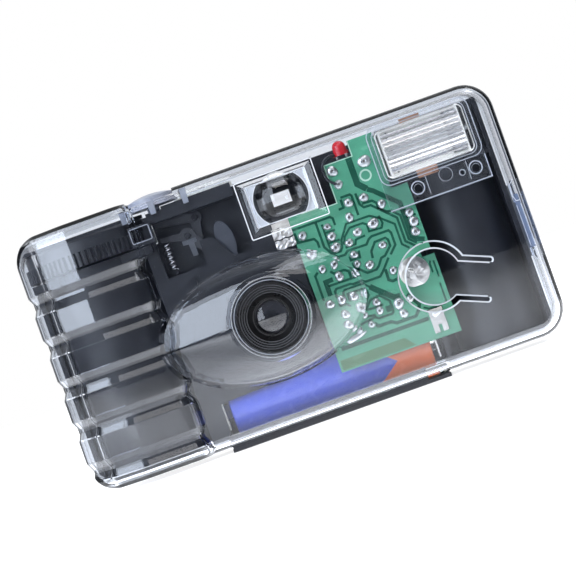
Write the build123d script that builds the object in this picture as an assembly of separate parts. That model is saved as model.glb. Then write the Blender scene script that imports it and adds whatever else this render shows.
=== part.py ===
from build123d import *
import math
import os

# A single-use 35 mm film camera with flash, in a clear case.
# Millimetres. +X is to the right as the camera is seen from the front, the front faces -Y, +Z is up.
# The origin is under the middle of the camera, on the surface that it stands on.

# Case
CASE_HALF_WIDTH = 59.0
CASE_BOTTOM = 1.3
CASE_TOP = 63.3
CASE_CORNER = 7.0
WALL = 1.3
FRONT_Y = -11.5
PARTING_Y = 4.0
REAR_Y = 17.2
EDGE_ROUND = 3.0
INSIDE_FRONT_Y = FRONT_Y + WALL

# Ribbed grip over the film cartridge
GRIP_FRONT_Y = -16.0
GRIP_RIGHT_X = -28.4
GROOVE_HEIGHTS = [6.4, 16.7, 27.0, 37.3, 47.6]
GROOVE_DEPTH = 1.0
GROOVE_FLANK = 2.1
GROOVE_FLAT = 0.35
GRIP_END_BEVEL = 1.4

# Lens, on the optical axis
LENS_X = -6.0
LENS_Z = 27.0
LENS_FRONT_Y = -18.0
LENS_BORE_RADIUS = 8.25
LENS_RIM_RADIUS = 9.4
BOSS_CENTRE_X = -7.5
BOSS_HALF_WIDTH = 24.3
BOSS_HALF_HEIGHT = 15.0

# Film path: a film of 35 mm width, its frame of 36 x 24 mm behind the lens
FILM_WIDTH = 35.0
FILM_Y = 14.2
FILM_THICKNESS = 0.2
FRAME_WIDTH = 36.0
FRAME_HEIGHT = 24.0
PERFORATION_PITCH = 4.75
PERFORATION_WIDTH = 1.98
PERFORATION_HEIGHT = 2.8
PERFORATION_ROW = 13.9
GATE_Y = 14.1

# Film cartridge under the thumb wheel, on one axis
CARTRIDGE_X = -41.6
CARTRIDGE_Y = 2.4
CARTRIDGE_RADIUS = 12.4
CARTRIDGE_BOTTOM = 5.5
CARTRIDGE_TOP = 48.5
CHAMBER_TOP = 52.3
CHAMBER_GAP = 0.3
CHAMBER_WALL = 1.1
WHEEL_RADIUS = 15.6
WHEEL_BOTTOM = 52.8
WHEEL_KNURL_TOP = 56.2
WHEEL_TOP = 59.3
WHEEL_TEETH = 72

# Supply spool with the unexposed film
SUPPLY_X = 44.0
SUPPLY_Y = 5.4
SUPPLY_CHAMBER_RADIUS = 9.5
FILM_ROLL_RADIUS = 8.5
SPOOL_CORE_RADIUS = 3.4
SUPPLY_TOP = 47.4

# Sprocket over the film gate
SPROCKET_X = -22.0
SPROCKET_PITCH_RADIUS = 6.05
SPROCKET_DISC_RADIUS = 5.3
SPROCKET_Y = FILM_Y - SPROCKET_PITCH_RADIUS - 0.05
SPROCKET_BOTTOM = 40.6
SPROCKET_TOP = 44.2
SPROCKET_TEETH = 8
SHAFT_RADIUS = 1.5
RUNNING_GAP = 0.06

# Main body
BODY_LEFT_X = -56.4
BODY_RIGHT_X = 56.0
BODY_BOTTOM = 3.0
BODY_TOP = 60.0
PLATE_FRONT_Y = -6.0
PLATE_BACK_Y = -4.8
PLATE_RIGHT_X = 4.6
BODY_REAR_Y = 14.1
TOP_DECK_BOTTOM = 57.6
TOP_DECK_TOP = 58.8

# Shutter mechanism, in a recess of the body over the lens
RECESS_LEFT_X = -26.0
RECESS_RIGHT_X = -5.0
RECESS_BOTTOM = 43.5
RECESS_TOP = 56.6
RECESS_FLOOR_Y = -0.6
BLADE_Y = (-4.5, -4.2)
BLADE_PIVOT = (-10.5, 43.5)
LEVER_PIVOT = (-18.5, 51.6)
RELEASE_PIVOT = (-15.6, 55.2)
SPRING_X = -24.0
SPRING_BOTTOM = 45.0
SPRING_TOP = 51.4

# Shutter button
BUTTON_X = -24.0
BUTTON_Y = -2.5
BUTTON_RADIUS = 5.6
BUTTON_TOP = 64.0

# Counter dial
DIAL_X = -12.0
DIAL_Y = 7.0
DIAL_RADIUS = 7.2
DIAL_BOTTOM = 60.0
DIAL_TOP = 61.0

# Winding pawl beside the thumb wheel
PAWL_X = -23.2
PAWL_Y = 3.4

# Viewfinder
FINDER_X = 5.25
FINDER_Z = 52.0
FINDER_WIDTH = 19.2
FINDER_HEIGHT = 13.9
TUNNEL_WIDTH = 12.4
TUNNEL_HEIGHT = 9.0
TUNNEL_Z = 53.2
TUNNEL_WALL = 1.3
EYEPIECE_WIDTH = 9.0
EYEPIECE_HEIGHT = 5.8

# Circuit board
BOARD_FRONT_Y = -8.6
BOARD_BACK_Y = -7.4
BOARD_LEFT = 5.0
BOARD_RIGHT = 34.6
BOARD_BOTTOM = 9.2

# Flash
FLASH_LEFT = 28.3
FLASH_RIGHT = 53.5
FLASH_BOTTOM = 46.3
FLASH_TOP = 60.7
FLASH_WINDOW = (30.2, 51.8, 47.7, 59.4)
FLASH_PLATE_BOTTOM = 40.5
FLASH_FLANGE_Y = (-10.1, -9.3)
FLASH_FRONT_Y = -12.2
REFLECTOR_LEFT = 31.2
REFLECTOR_RIGHT = 50.8
TUBE_RADIUS = 1.5
TUBE_Y = -4.6
TUBE_Z = 53.6
FLASH_PIN_X = (36.1, 50.3)
FLASH_PIN_Z = 43.8

# Flash button, a tongue of the front cover
TONGUE_X = 32.6
TONGUE_Z = 23.2
TONGUE_ANGLE = -22.5
TONGUE_RADIUS = 6.8
TONGUE_HALF_WIDTH = 4.1
TONGUE_RING_SLOT = 1.3
TONGUE_ARM_SLOT = 1.0
TONGUE_ROOT = 12.8
TONGUE_CHAMFER = 0.35

# Battery, size AA
BATTERY_LEFT = -22.6
BATTERY_RIGHT = 26.8
BATTERY_NUB = 1.0
BATTERY_RADIUS = 7.1
BATTERY_Y = 2.5
BATTERY_Z = 9.3

# Battery door, the strip that the camera stands on
DOOR_LEFT = -25.0
DOOR_RIGHT = 29.0
DOOR_FRONT_Y = -9.1
DOOR_BACK_Y = 9.1
DOOR_THICKNESS = 0.85


def block(x_range, y_range, z_range):
    """A box between two X, two Y and two Z values."""
    centre = [(low + high) / 2 for low, high in (x_range, y_range, z_range)]
    sides = [high - low for low, high in (x_range, y_range, z_range)]
    return Pos(*centre) * Box(*sides)


def rod_x(y, z, radius, left, right):
    """A round rod along X."""
    return Pos((left + right) / 2, y, z) * Rot(0, 90, 0) * Cylinder(radius, right - left)


def rod_y(x, z, radius, front, back):
    """A round rod along Y."""
    return Pos(x, (front + back) / 2, z) * Rot(90, 0, 0) * Cylinder(radius, back - front)


def rod_z(x, y, radius, bottom, top):
    """A round rod along Z."""
    return Pos(x, y, (bottom + top) / 2) * Cylinder(radius, top - bottom)


def slab_y(outline, front, back):
    """An outline drawn in X and Z, given depth from front to back."""
    return extrude(Plane.XZ.offset(-back) * outline, amount=back - front)


def slab_z(outline, bottom, top):
    """An outline drawn in X and Y, given height from bottom to top."""
    return extrude(Plane.XY.offset(bottom) * outline, amount=top - bottom)


def slab_x(outline, left, right):
    """An outline drawn in Y and Z, given width from left to right."""
    return extrude(Plane.YZ.offset(left) * outline, amount=right - left)


def polygon(*points):
    """A face with straight sides through the points."""
    return make_face(Polyline(*points, close=True))


def rectangle(left, right, bottom, top, corner=0.0):
    """A rectangle, with round corners where a radius is given."""
    place = Pos((left + right) / 2, (bottom + top) / 2)
    if corner:
        return place * RectangleRounded(right - left, top - bottom, corner)
    return place * Rectangle(right - left, top - bottom)


def turned_y(x, z, *points):
    """A solid turned about an axis along Y, from points of radius and Y."""
    plane = Plane(origin=(x, 0, z), x_dir=(1, 0, 0), z_dir=(0, 0, 1))
    return revolve(plane * polygon(*points), Axis((x, 0, z), (0, 1, 0)))


def turned_z(x, y, *points):
    """A solid turned about an axis along Z, from points of radius and Z."""
    plane = Plane(origin=(x, y, 0), x_dir=(1, 0, 0), z_dir=(0, -1, 0))
    return revolve(plane * polygon(*points), Axis((x, y, 0), (0, 0, 1)))


def ellipse_at(x, z, half_width, half_height, y):
    """An ellipse in X and Z at one depth."""
    return Plane.XZ.offset(-y) * (Pos(x, z) * Ellipse(half_width, half_height))


def joined(pieces):
    """One solid, or one group of solids, from a list."""
    total = pieces[0]
    for piece in pieces[1:]:
        total = total + piece
    return total


# Case


def case_outline(inset):
    width = 2 * (CASE_HALF_WIDTH - inset)
    height = CASE_TOP - CASE_BOTTOM - 2 * inset
    middle = (CASE_TOP + CASE_BOTTOM) / 2
    return Pos(0, middle) * RectangleRounded(width, height, CASE_CORNER - inset)


def grip_profile(inset):
    """The grip seen from above: a side wall, a slanted facet, and a flat front."""
    behind = PARTING_Y + 4
    corners = [
        (-CASE_HALF_WIDTH, behind),
        (-CASE_HALF_WIDTH, -4.5),
        (-53.5, -12.2),
        (-45.5, GRIP_FRONT_Y),
        (GRIP_RIGHT_X - 2.2, GRIP_FRONT_Y + 0.4),
        (GRIP_RIGHT_X, FRONT_Y + 0.5),
        (GRIP_RIGHT_X, behind),
    ]
    face = polygon(*corners)
    for corner, radius in zip(corners[1:5], (5.0, 5.0, 6.0, 4.5)):
        nearest = min(face.vertices(), key=lambda v: math.dist((v.X, v.Y), corner))
        face = fillet([nearest], radius)
    return offset(face, amount=-inset, kind=Kind.ARC) if inset else face


def grip_layer(inset_below, inset_above, bottom, top):
    below = Plane.XY.offset(bottom) * grip_profile(inset_below)
    if inset_below == inset_above:
        return extrude(below, amount=top - bottom)
    above = Plane.XY.offset(top) * grip_profile(inset_above)
    return loft([below.faces()[0], above.faces()[0]], ruled=True)


def grip_solid(inset):
    """The grip as a stack of layers, drawn in at its ends and at each groove."""
    bottom = CASE_BOTTOM + inset
    top = CASE_TOP - inset
    bevel = GRIP_END_BEVEL - inset * (2 - math.sqrt(2))
    layers = [grip_layer(bevel + inset, inset, bottom, bottom + bevel)]
    level = bottom + bevel
    for groove in GROOVE_HEIGHTS:
        flank_bottom = groove - GROOVE_FLAT - GROOVE_FLANK
        flank_top = groove + GROOVE_FLAT + GROOVE_FLANK
        deep = inset + GROOVE_DEPTH
        if flank_bottom > level:
            layers.append(grip_layer(inset, inset, level, flank_bottom))
        layers.append(grip_layer(inset, deep, flank_bottom, groove - GROOVE_FLAT))
        layers.append(grip_layer(deep, deep, groove - GROOVE_FLAT, groove + GROOVE_FLAT))
        layers.append(grip_layer(deep, inset, groove + GROOVE_FLAT, flank_top))
        level = flank_top
    layers.append(grip_layer(inset, inset, level, top - bevel))
    layers.append(grip_layer(inset, bevel + inset, top - bevel, top))
    return joined(layers)


def boss_solid(inset, base_y):
    """The oval lens boss: a dome from an ellipse up to the round rim."""
    half_width = BOSS_HALF_WIDTH - inset
    half_height = BOSS_HALF_HEIGHT - inset
    rim_y = -16.6 + inset
    sections = [
        ellipse_at(BOSS_CENTRE_X, LENS_Z, half_width, half_height, base_y),
        ellipse_at(BOSS_CENTRE_X, LENS_Z, half_width, half_height, FRONT_Y + inset - 0.4),
        ellipse_at(-6.8, LENS_Z, 0.78 * half_width, 0.87 * half_height, -14.4 + inset),
        ellipse_at(LENS_X, LENS_Z, LENS_RIM_RADIUS + 1.0 - inset, LENS_RIM_RADIUS + 1.0 - inset, rim_y),
    ]
    base = loft([sections[0].faces()[0], sections[1].faces()[0]], ruled=True)
    dome = loft([section.faces()[0] for section in sections[1:]])
    return base + dome


def boss_recess(inset):
    """The oval well that the boss stands in, where it meets the grip."""
    outline = Pos(BOSS_CENTRE_X, LENS_Z) * Ellipse(BOSS_HALF_WIDTH + inset, BOSS_HALF_HEIGHT + inset)
    return slab_y(outline, GRIP_FRONT_Y - 2, FRONT_Y + inset)


def front_form(inset):
    """The outside of the front cover, or its inside where it is drawn in by the wall."""
    deep_back = PARTING_Y + (2 if inset else 0)
    body = slab_y(case_outline(inset), FRONT_Y + inset, deep_back)
    front_edges = body.faces().sort_by(Axis.Y)[0].edges()
    body = fillet(front_edges, EDGE_ROUND - inset)
    left_part = block((-70, -50 if inset else -45), (-20, 20), (-5, 70))
    body = body - left_part
    grip = grip_solid(inset) & slab_y(case_outline(inset), -20, deep_back)
    grip = grip - boss_recess(inset)
    return body + grip + boss_solid(inset, FRONT_Y + 1.0 + inset)


def tongue_outline(radius, half_width, root):
    disc = Circle(radius)
    arm = Pos(root / 2, 0) * Rectangle(root, 2 * half_width)
    return Pos(TONGUE_X, TONGUE_Z) * Rot(0, 0, TONGUE_ANGLE) * (disc + arm)


def tongue_slot_ends():
    """The round ends of the two slots beside the tongue's arm."""
    across = TONGUE_HALF_WIDTH + TONGUE_ARM_SLOT / 2
    ends = [Pos(TONGUE_ROOT, side * across) * Circle(TONGUE_ARM_SLOT / 2) for side in (-1, 1)]
    return Pos(TONGUE_X, TONGUE_Z) * Rot(0, 0, TONGUE_ANGLE) * (ends[0] + ends[1])


def front_cover():
    shell = front_form(0.0) - front_form(WALL)
    rim = turned_y(
        LENS_X, LENS_Z,
        (LENS_BORE_RADIUS - 0.4, -15.6), (LENS_BORE_RADIUS - 0.4, LENS_FRONT_Y),
        (LENS_RIM_RADIUS - 0.5, LENS_FRONT_Y), (LENS_RIM_RADIUS, LENS_FRONT_Y + 0.5),
        (LENS_RIM_RADIUS, -15.6),
    )
    shell = shell + rim - rod_y(LENS_X, LENS_Z, LENS_BORE_RADIUS, -25, -8)
    half_width = FINDER_WIDTH / 2 + 0.1
    half_height = FINDER_HEIGHT / 2 + 0.1
    finder_window = rectangle(
        FINDER_X - half_width, FINDER_X + half_width, FINDER_Z - half_height, FINDER_Z + half_height
    )
    shell = shell - slab_y(finder_window, -14, -9)
    left, right, bottom, top = FLASH_WINDOW
    flash_window = rectangle(left - 0.1, right + 0.1, bottom - 0.1, top + 0.1, 1.6)
    shell = shell - slab_y(flash_window, -14, -9)
    slot = tongue_outline(
        TONGUE_RADIUS + TONGUE_RING_SLOT, TONGUE_HALF_WIDTH + TONGUE_ARM_SLOT, TONGUE_ROOT
    )
    slot = slot + tongue_slot_ends()
    shell = shell - slab_y(slot, -14, -9)
    reach = TONGUE_ROOT + TONGUE_RADIUS
    slot_edges = [
        edge for edge in shell.edges()
        if abs(edge.center().Y - FRONT_Y) < 0.01 and edge.length < 40
        and math.dist((edge.center().X, edge.center().Z), (TONGUE_X, TONGUE_Z)) < reach
        and abs(edge.length - 2 * TONGUE_HALF_WIDTH) > 0.01
    ]
    shell = chamfer(slot_edges, TONGUE_CHAMFER)
    button_half = BUTTON_RADIUS + 0.2
    shell = shell - rod_z(BUTTON_X, BUTTON_Y, button_half, 60, 66)
    shell = shell - block((BUTTON_X - button_half, BUTTON_X + button_half), (-20, BUTTON_Y), (61.9, 66))
    shell = shell - block((DOOR_LEFT - 0.3, DOOR_RIGHT + 0.4), (-9.0, PARTING_Y + 1), (0, 3.5))
    shell = shell - block((57.0, 60.0), (-4.0, 0.0), (19.2, 38.4))
    tabs = [
        block((-31.2, -30.0), (-10.6, -9.6), (58.6, 62.4)),
        block((-24.5, -23.1), (-10.6, -9.4), (59.2, 62.4)),
        block((-16.9, -15.3), (-10.6, -9.4), (58.8, 62.4)),
    ]
    return joined([shell] + tabs)


def rear_form(inset):
    start = PARTING_Y - (2 if inset else 0)
    body = slab_y(case_outline(inset), start, REAR_Y - inset)
    rear_edges = body.faces().sort_by(Axis.Y)[-1].edges()
    return fillet(rear_edges, EDGE_ROUND - inset)


def rear_cover():
    shell = rear_form(0.0) - rear_form(WALL)
    wheel_slot = rectangle(CARTRIDGE_X - 9.4, CARTRIDGE_X + 9.4, WHEEL_BOTTOM - 0.6, WHEEL_TOP + 0.6, 1.5)
    shell = shell - slab_y(wheel_slot, 12, 20)
    shell = shell - block((DOOR_LEFT - 0.3, DOOR_RIGHT + 0.4), (PARTING_Y - 1, 9.0), (0, 3.5))
    arm = block((56.4, 57.6), (-3.4, PARTING_Y + 5), (20.0, 37.6))
    arm_root = block((56.4, 58.2), (PARTING_Y + 2, PARTING_Y + 5), (20.0, 37.6))
    hooks = [
        block((57.4, 58.7), (-3.4, -1.6), (20.0, 22.0)),
        block((57.4, 58.7), (-3.4, -1.6), (27.8, 29.8)),
        block((57.4, 58.7), (-3.4, -1.6), (35.6, 37.6)),
    ]
    return joined([shell, arm, arm_root] + hooks)


def battery_door():
    strip = block((DOOR_LEFT, DOOR_RIGHT), (DOOR_FRONT_Y, DOOR_BACK_Y), (0, DOOR_THICKNESS))
    lip_front = block((DOOR_LEFT + 0.2, 23.6), (-8.8, -7.6), (DOOR_THICKNESS - 0.2, 3.9))
    lip_back = block((DOOR_LEFT + 0.2, 23.6), (7.6, 8.8), (DOOR_THICKNESS - 0.2, 2.8))
    saddles = [
        block((x, x + 1.6), (-7.7, 7.7), (DOOR_THICKNESS - 0.2, 1.9)) for x in (-18.0, -2.0, 14.0)
    ]
    grip_ribs = [block((x, x + 0.8), (-5, 5), (0, 0.4)) for x in (22.0, 24.0, 26.0)]
    door = joined([strip, lip_front, lip_back] + saddles)
    return door - joined(grip_ribs)


# Main body


def light_box(half_front, half_back_x, half_back_z, front, back):
    near = Plane.XZ.offset(-front) * (Pos(LENS_X, LENS_Z) * Rectangle(2 * half_front, 2 * half_front))
    far = Plane.XZ.offset(-back) * (Pos(LENS_X, LENS_Z) * Rectangle(2 * half_back_x, 2 * half_back_z))
    return loft([near.faces()[0], far.faces()[0]], ruled=True)


def chamber_tube(x, y, inner, bottom, top):
    outer = rod_z(x, y, inner + CHAMBER_WALL, bottom, top)
    bore = rod_z(x, y, inner, bottom - 1, top + 1)
    behind = block((x - inner, x + inner), (y, 30), (bottom - 1, top + 1))
    return outer - bore - behind


def front_plate():
    """The flat front of the body, with the shutter recess, the battery window and the lens hole."""
    plate = block((-29.0, PLATE_RIGHT_X), (PLATE_FRONT_Y, PLATE_BACK_Y), (BODY_BOTTOM, TOP_DECK_BOTTOM))
    recess = block(
        (RECESS_LEFT_X, RECESS_RIGHT_X), (-10, PLATE_BACK_Y + 0.2), (RECESS_BOTTOM, RECESS_TOP)
    )
    window = polygon(
        (-24.3, 3.8), (PLATE_RIGHT_X + 1, 3.8), (PLATE_RIGHT_X + 1, 15.4), (-2.0, 13.6),
        (-10.0, 12.2), (-24.3, 11.7),
    )
    guard = polygon(
        (-16.2, RECESS_BOTTOM - 1), (-16.2, 49.5), (-13.0, 49.5), (-9.8, 44.0), (-9.2, RECESS_BOTTOM - 1),
    )
    plate = plate - recess + slab_y(guard, PLATE_FRONT_Y, PLATE_BACK_Y) - slab_y(window, -10, 0)
    shield = block((-31.0, -25.6), (-9.9, -9.2), (52.6, TOP_DECK_BOTTOM))
    shield = shield - block((-30.2, -26.4), (-12, -8), (53.9, 56.9))
    shield_side = block((-26.4, -25.6), (-9.3, PLATE_FRONT_Y + 0.2), (52.6, TOP_DECK_BOTTOM))
    return plate + shield + shield_side - rod_y(LENS_X, LENS_Z, 2.6, -10, 0)


def main_body():
    rear_wall = block((-28.0, BODY_RIGHT_X), (BODY_REAR_Y - 1.4, BODY_REAR_Y), (4.0, SUPPLY_TOP))
    floor = block((BODY_LEFT_X, BODY_RIGHT_X), (-5.8, BODY_REAR_Y), (BODY_BOTTOM, 4.2))
    right_wall = block((54.8, BODY_RIGHT_X), (-4.0, BODY_REAR_Y), (BODY_BOTTOM, BODY_TOP))
    left_wall = block((BODY_LEFT_X, -55.2), (-2.0, BODY_REAR_Y), (BODY_BOTTOM, CHAMBER_TOP))
    chamber_inner = CARTRIDGE_RADIUS + CHAMBER_GAP
    cartridge_chamber = chamber_tube(CARTRIDGE_X, CARTRIDGE_Y, chamber_inner, BODY_BOTTOM, CHAMBER_TOP)
    supply_chamber = chamber_tube(SUPPLY_X, SUPPLY_Y, SUPPLY_CHAMBER_RADIUS, BODY_BOTTOM, SUPPLY_TOP)
    chamber_roof = block((BODY_LEFT_X, -27.0), (-4.0, BODY_REAR_Y), (50.4, CHAMBER_TOP))
    chamber_brow = block((-50.0, -27.0), (-9.6, -3.9), (50.4, CHAMBER_TOP))
    supply_roof = block((33.0, BODY_RIGHT_X), (-4.0, BODY_REAR_Y), (46.4, SUPPLY_TOP))
    flash_wall = block((31.0, BODY_RIGHT_X), (-1.0, 0.2), (46.4, BODY_TOP))
    recess_floor = block((-27.4, RECESS_RIGHT_X + 1.2), (RECESS_FLOOR_Y, 0.6), (41.0, TOP_DECK_BOTTOM))
    recess_left = block((-27.4, -26.2), (PLATE_BACK_Y, 0.6), (41.0, 53.4))
    recess_right = block((-4.8, -3.6), (PLATE_BACK_Y, 0.6), (41.0, TOP_DECK_BOTTOM))
    rear_top = block((-26.0, BODY_RIGHT_X), (13.0, BODY_REAR_Y), (SUPPLY_TOP - 0.5, BODY_TOP))
    bay_end_left = block((-26.4, -25.2), (PLATE_BACK_Y, 11.0), (BODY_BOTTOM, 17.4))
    bay_end_right = block((29.6, 30.8), (-5.6, 11.0), (BODY_BOTTOM, 17.4))
    bay_back = block((-26.4, 30.8), (9.9, 10.9), (BODY_BOTTOM, 15.0))
    shell = joined([
        rear_wall, floor, right_wall, left_wall, cartridge_chamber, supply_chamber, chamber_roof,
        chamber_brow, supply_roof, flash_wall, recess_floor, recess_left, recess_right, rear_top,
        bay_end_left, bay_end_right, bay_back, front_plate(),
    ])

    tunnel_left = FINDER_X - 0.05 - TUNNEL_WIDTH / 2
    tunnel_right = tunnel_left + TUNNEL_WIDTH
    tunnel_bottom = TUNNEL_Z - TUNNEL_HEIGHT / 2
    tunnel_top = tunnel_bottom + TUNNEL_HEIGHT
    tunnel = block(
        (tunnel_left - TUNNEL_WALL, tunnel_right + TUNNEL_WALL), (-7.2, BODY_REAR_Y),
        (tunnel_bottom - TUNNEL_WALL, tunnel_top + TUNNEL_WALL),
    )
    tunnel_inside = block((tunnel_left, tunnel_right), (-12, 13.0), (tunnel_bottom, tunnel_top))
    eyepiece_hole = rectangle(
        FINDER_X - EYEPIECE_WIDTH / 2, FINDER_X + EYEPIECE_WIDTH / 2,
        TUNNEL_Z - EYEPIECE_HEIGHT / 2, TUNNEL_Z + EYEPIECE_HEIGHT / 2,
    )
    shell = shell + tunnel - tunnel_inside - slab_y(eyepiece_hole, 12, 16)

    box_outer = light_box(6.0, FRAME_WIDTH / 2 + 1.2, FRAME_HEIGHT / 2 + 1.2, -3.9, BODY_REAR_Y)
    box_inner = light_box(4.8, FRAME_WIDTH / 2, FRAME_HEIGHT / 2, -2.9, GATE_Y + 0.01)
    shell = shell + box_outer - box_inner - rod_y(LENS_X, LENS_Z, 2.2, -5, 0)

    cartridge_space = rod_z(CARTRIDGE_X, CARTRIDGE_Y, chamber_inner, 4.2, 50.4)
    cartridge_mouth = block((CARTRIDGE_X - chamber_inner, CARTRIDGE_X + chamber_inner),
                            (CARTRIDGE_Y, 20), (4.2, 50.4))
    supply_space = rod_z(SUPPLY_X, SUPPLY_Y, SUPPLY_CHAMBER_RADIUS, 4.2, 46.4)
    supply_mouth = block((SUPPLY_X - 8.0, SUPPLY_X + 8.0), (SUPPLY_Y, 20), (4.2, 46.4))
    sprocket_space = rod_z(SPROCKET_X, SPROCKET_Y, SPROCKET_PITCH_RADIUS + 0.6, 40.35, 44.9)
    wheel_space = rod_z(CARTRIDGE_X, CARTRIDGE_Y, WHEEL_RADIUS + 0.5, WHEEL_BOTTOM - 0.4, 70)
    hub_hole = rod_z(CARTRIDGE_X, CARTRIDGE_Y, 4.4, 49, 53)
    shell = shell - joined([
        cartridge_space, cartridge_mouth, supply_space, supply_mouth, sprocket_space, wheel_space,
    ]) - hub_hole

    shaft_hole = rod_z(SPROCKET_X, SPROCKET_Y, SHAFT_RADIUS + 0.3, 36, 60)
    battery_space = rod_x(BATTERY_Y, BATTERY_Z, BATTERY_RADIUS + 0.3, -25.2, 29.6)
    battery_mouth = block((-24.8, 29.0), (-7.4, 9.3), (0, 4.3))
    spool_pins = rod_z(SUPPLY_X, SUPPLY_Y, 1.6 + RUNNING_GAP, 3, 50)
    shell = shell - shaft_hole - battery_space - battery_mouth - spool_pins

    bridge = block((BODY_LEFT_X, -27.5), (-4.0, 4.6), (59.6, 60.4))
    bridge_post = block((BODY_LEFT_X, -55.2), (11.6, BODY_REAR_Y), (51.0, 60.4))
    bridge_arm = block((BODY_LEFT_X, -50.0), (4.4, BODY_REAR_Y), (59.6, 60.4))
    bridge = bridge + bridge_arm + bridge_post - rod_z(BUTTON_X, BUTTON_Y, 7.0, 50, 70)
    bridge = bridge - rod_z(CARTRIDGE_X, CARTRIDGE_Y, 1.5 + RUNNING_GAP, 50, 70)
    bridge = bridge - rod_z(CARTRIDGE_X, CARTRIDGE_Y, WHEEL_RADIUS + 0.4, 50, WHEEL_TOP + 0.3)

    flash_pins = []
    for x in FLASH_PIN_X:
        reach = math.sqrt((SUPPLY_CHAMBER_RADIUS + CHAMBER_WALL / 2) ** 2 - (x - SUPPLY_X) ** 2)
        flash_pins.append(rod_y(x, FLASH_PIN_Z, 0.9, -10.2, SUPPLY_Y - reach))
    pins = [
        rod_y(LEVER_PIVOT[0], LEVER_PIVOT[1], 0.7, -4.2, 0),
        rod_y(RELEASE_PIVOT[0], RELEASE_PIVOT[1], 0.7, -4.2, 0),
        rod_y(BLADE_PIVOT[0], BLADE_PIVOT[1], 0.6, -4.6, 0),
        rod_y(SPRING_X, SPRING_BOTTOM - 0.6, 0.5, -4.2, 0),
        rod_y(-20.7, 40.5, 0.9, -7.2, -5.5),
    ]
    body = joined([shell, bridge] + pins + flash_pins)
    return body & slab_y(case_outline(WALL + 0.3), -20, 20)


def top_cover():
    deck = block((-27.2, -2.6), (-7.6, 12.9), (TOP_DECK_BOTTOM, TOP_DECK_TOP))
    lip = block((-26.0, -5.0), (-8.8, -7.4), (56.8, BODY_TOP))
    dial_post = rod_z(DIAL_X, DIAL_Y, 0.9, TOP_DECK_TOP - 0.5, 61.4)
    dial_seat = rod_z(DIAL_X, DIAL_Y, 2.4, TOP_DECK_TOP - 0.5, DIAL_BOTTOM - 0.15)
    pawl_post = rod_z(PAWL_X, PAWL_Y, 0.55, 53.0, TOP_DECK_BOTTOM + 0.2)
    cover = deck + lip + dial_seat + dial_post + pawl_post
    cover = cover - rod_z(BUTTON_X, BUTTON_Y, 6.6, 59.4, 70)
    wheel_space = rod_z(CARTRIDGE_X, CARTRIDGE_Y, WHEEL_RADIUS + 0.5, 50, 70)
    stem_hole = rod_z(BUTTON_X, BUTTON_Y, 1.5 + RUNNING_GAP, 50, 59)
    shaft_hole = rod_z(SPROCKET_X, SPROCKET_Y, SHAFT_RADIUS + RUNNING_GAP, 50, 70)
    return cover - wheel_space - stem_hole - shaft_hole


def film_back():
    """The light-tight plate behind the film, stiffened with shallow ribs."""
    plate = block((-56.0, BODY_RIGHT_X), (15.0, 15.6), (4.2, 49.0))
    ribs = [block((-26.0, 34.0), (15.5, 15.85), (z, z + 0.8)) for z in (12.0, 19.5, 27.0, 34.5, 42.0)]
    return joined([plate] + ribs) & slab_y(case_outline(WALL + 1.6), 10, 20)


# Lens


def lens_holder():
    """A barrel with a stepped mouth, then a plain cone down to the seat of the lens."""
    barrel, mouth, cone_mouth, cone_throat = 8.0, 7.85, 5.65, 4.5
    steps, depth = 4, 0.75
    start, seat_front = -17.5, -13.0
    shrink = (mouth - cone_mouth) / steps
    flange_y = PLATE_FRONT_Y - 1.4
    profile = [(10.4, PLATE_FRONT_Y), (10.4, flange_y), (barrel, flange_y), (barrel, start)]
    for step in range(steps):
        radius = mouth - step * shrink
        profile.append((radius, start + step * depth))
        profile.append((radius - 0.2, start + (step + 1) * depth))
    profile += [(cone_mouth, start + steps * depth), (cone_throat, seat_front)]
    profile += [(4.35, seat_front), (4.35, -10.2), (3.2, -10.2), (3.2, PLATE_FRONT_Y)]
    return turned_y(LENS_X, LENS_Z, *profile)


def taking_lens():
    blank = rod_y(LENS_X, LENS_Z, 4.25, -12.4, -10.5)
    front_ball = Pos(LENS_X, -12.4 + 11.0, LENS_Z) * Sphere(11.0)
    rear_ball = Pos(LENS_X, -11.1 + 16.0, LENS_Z) * Sphere(16.0)
    return (blank & front_ball) - rear_ball


def lens_retainer():
    return turned_y(LENS_X, LENS_Z, (4.3, -12.95), (4.3, -12.45), (3.85, -12.45), (4.1, -12.95))


def aperture_plate():
    return rod_y(LENS_X, LENS_Z, 4.3, -10.45, -10.2) - rod_y(LENS_X, LENS_Z, 1.6, -11, -10)


# Viewfinder


def viewfinder_front():
    half_width = FINDER_WIDTH / 2
    half_height = FINDER_HEIGHT / 2
    front, face, back = -12.3, -11.6, -9.3
    outline = rectangle(
        FINDER_X - half_width, FINDER_X + half_width, FINDER_Z - half_height, FINDER_Z + half_height
    )
    body = slab_y(outline, front, back)
    wide = Plane.XZ.offset(-(front - 0.01)) * (
        Pos(FINDER_X, FINDER_Z) * Rectangle(FINDER_WIDTH - 1.2, FINDER_HEIGHT - 1.2)
    )
    narrow = Plane.XZ.offset(-face) * (
        Pos(FINDER_X, FINDER_Z + 0.3) * Rectangle(FINDER_WIDTH - 5.6, FINDER_HEIGHT - 4.4)
    )
    bevel = loft([wide.faces()[0], narrow.faces()[0]], ruled=True)
    hollow_depth = 1.5
    hollow_reach = 6.3
    hollow_radius = (hollow_reach ** 2 + hollow_depth ** 2) / (2 * hollow_depth)
    hollow = Pos(FINDER_X, back - hollow_depth + hollow_radius, FINDER_Z + 0.4) * Sphere(hollow_radius)
    return body - bevel - hollow


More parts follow.
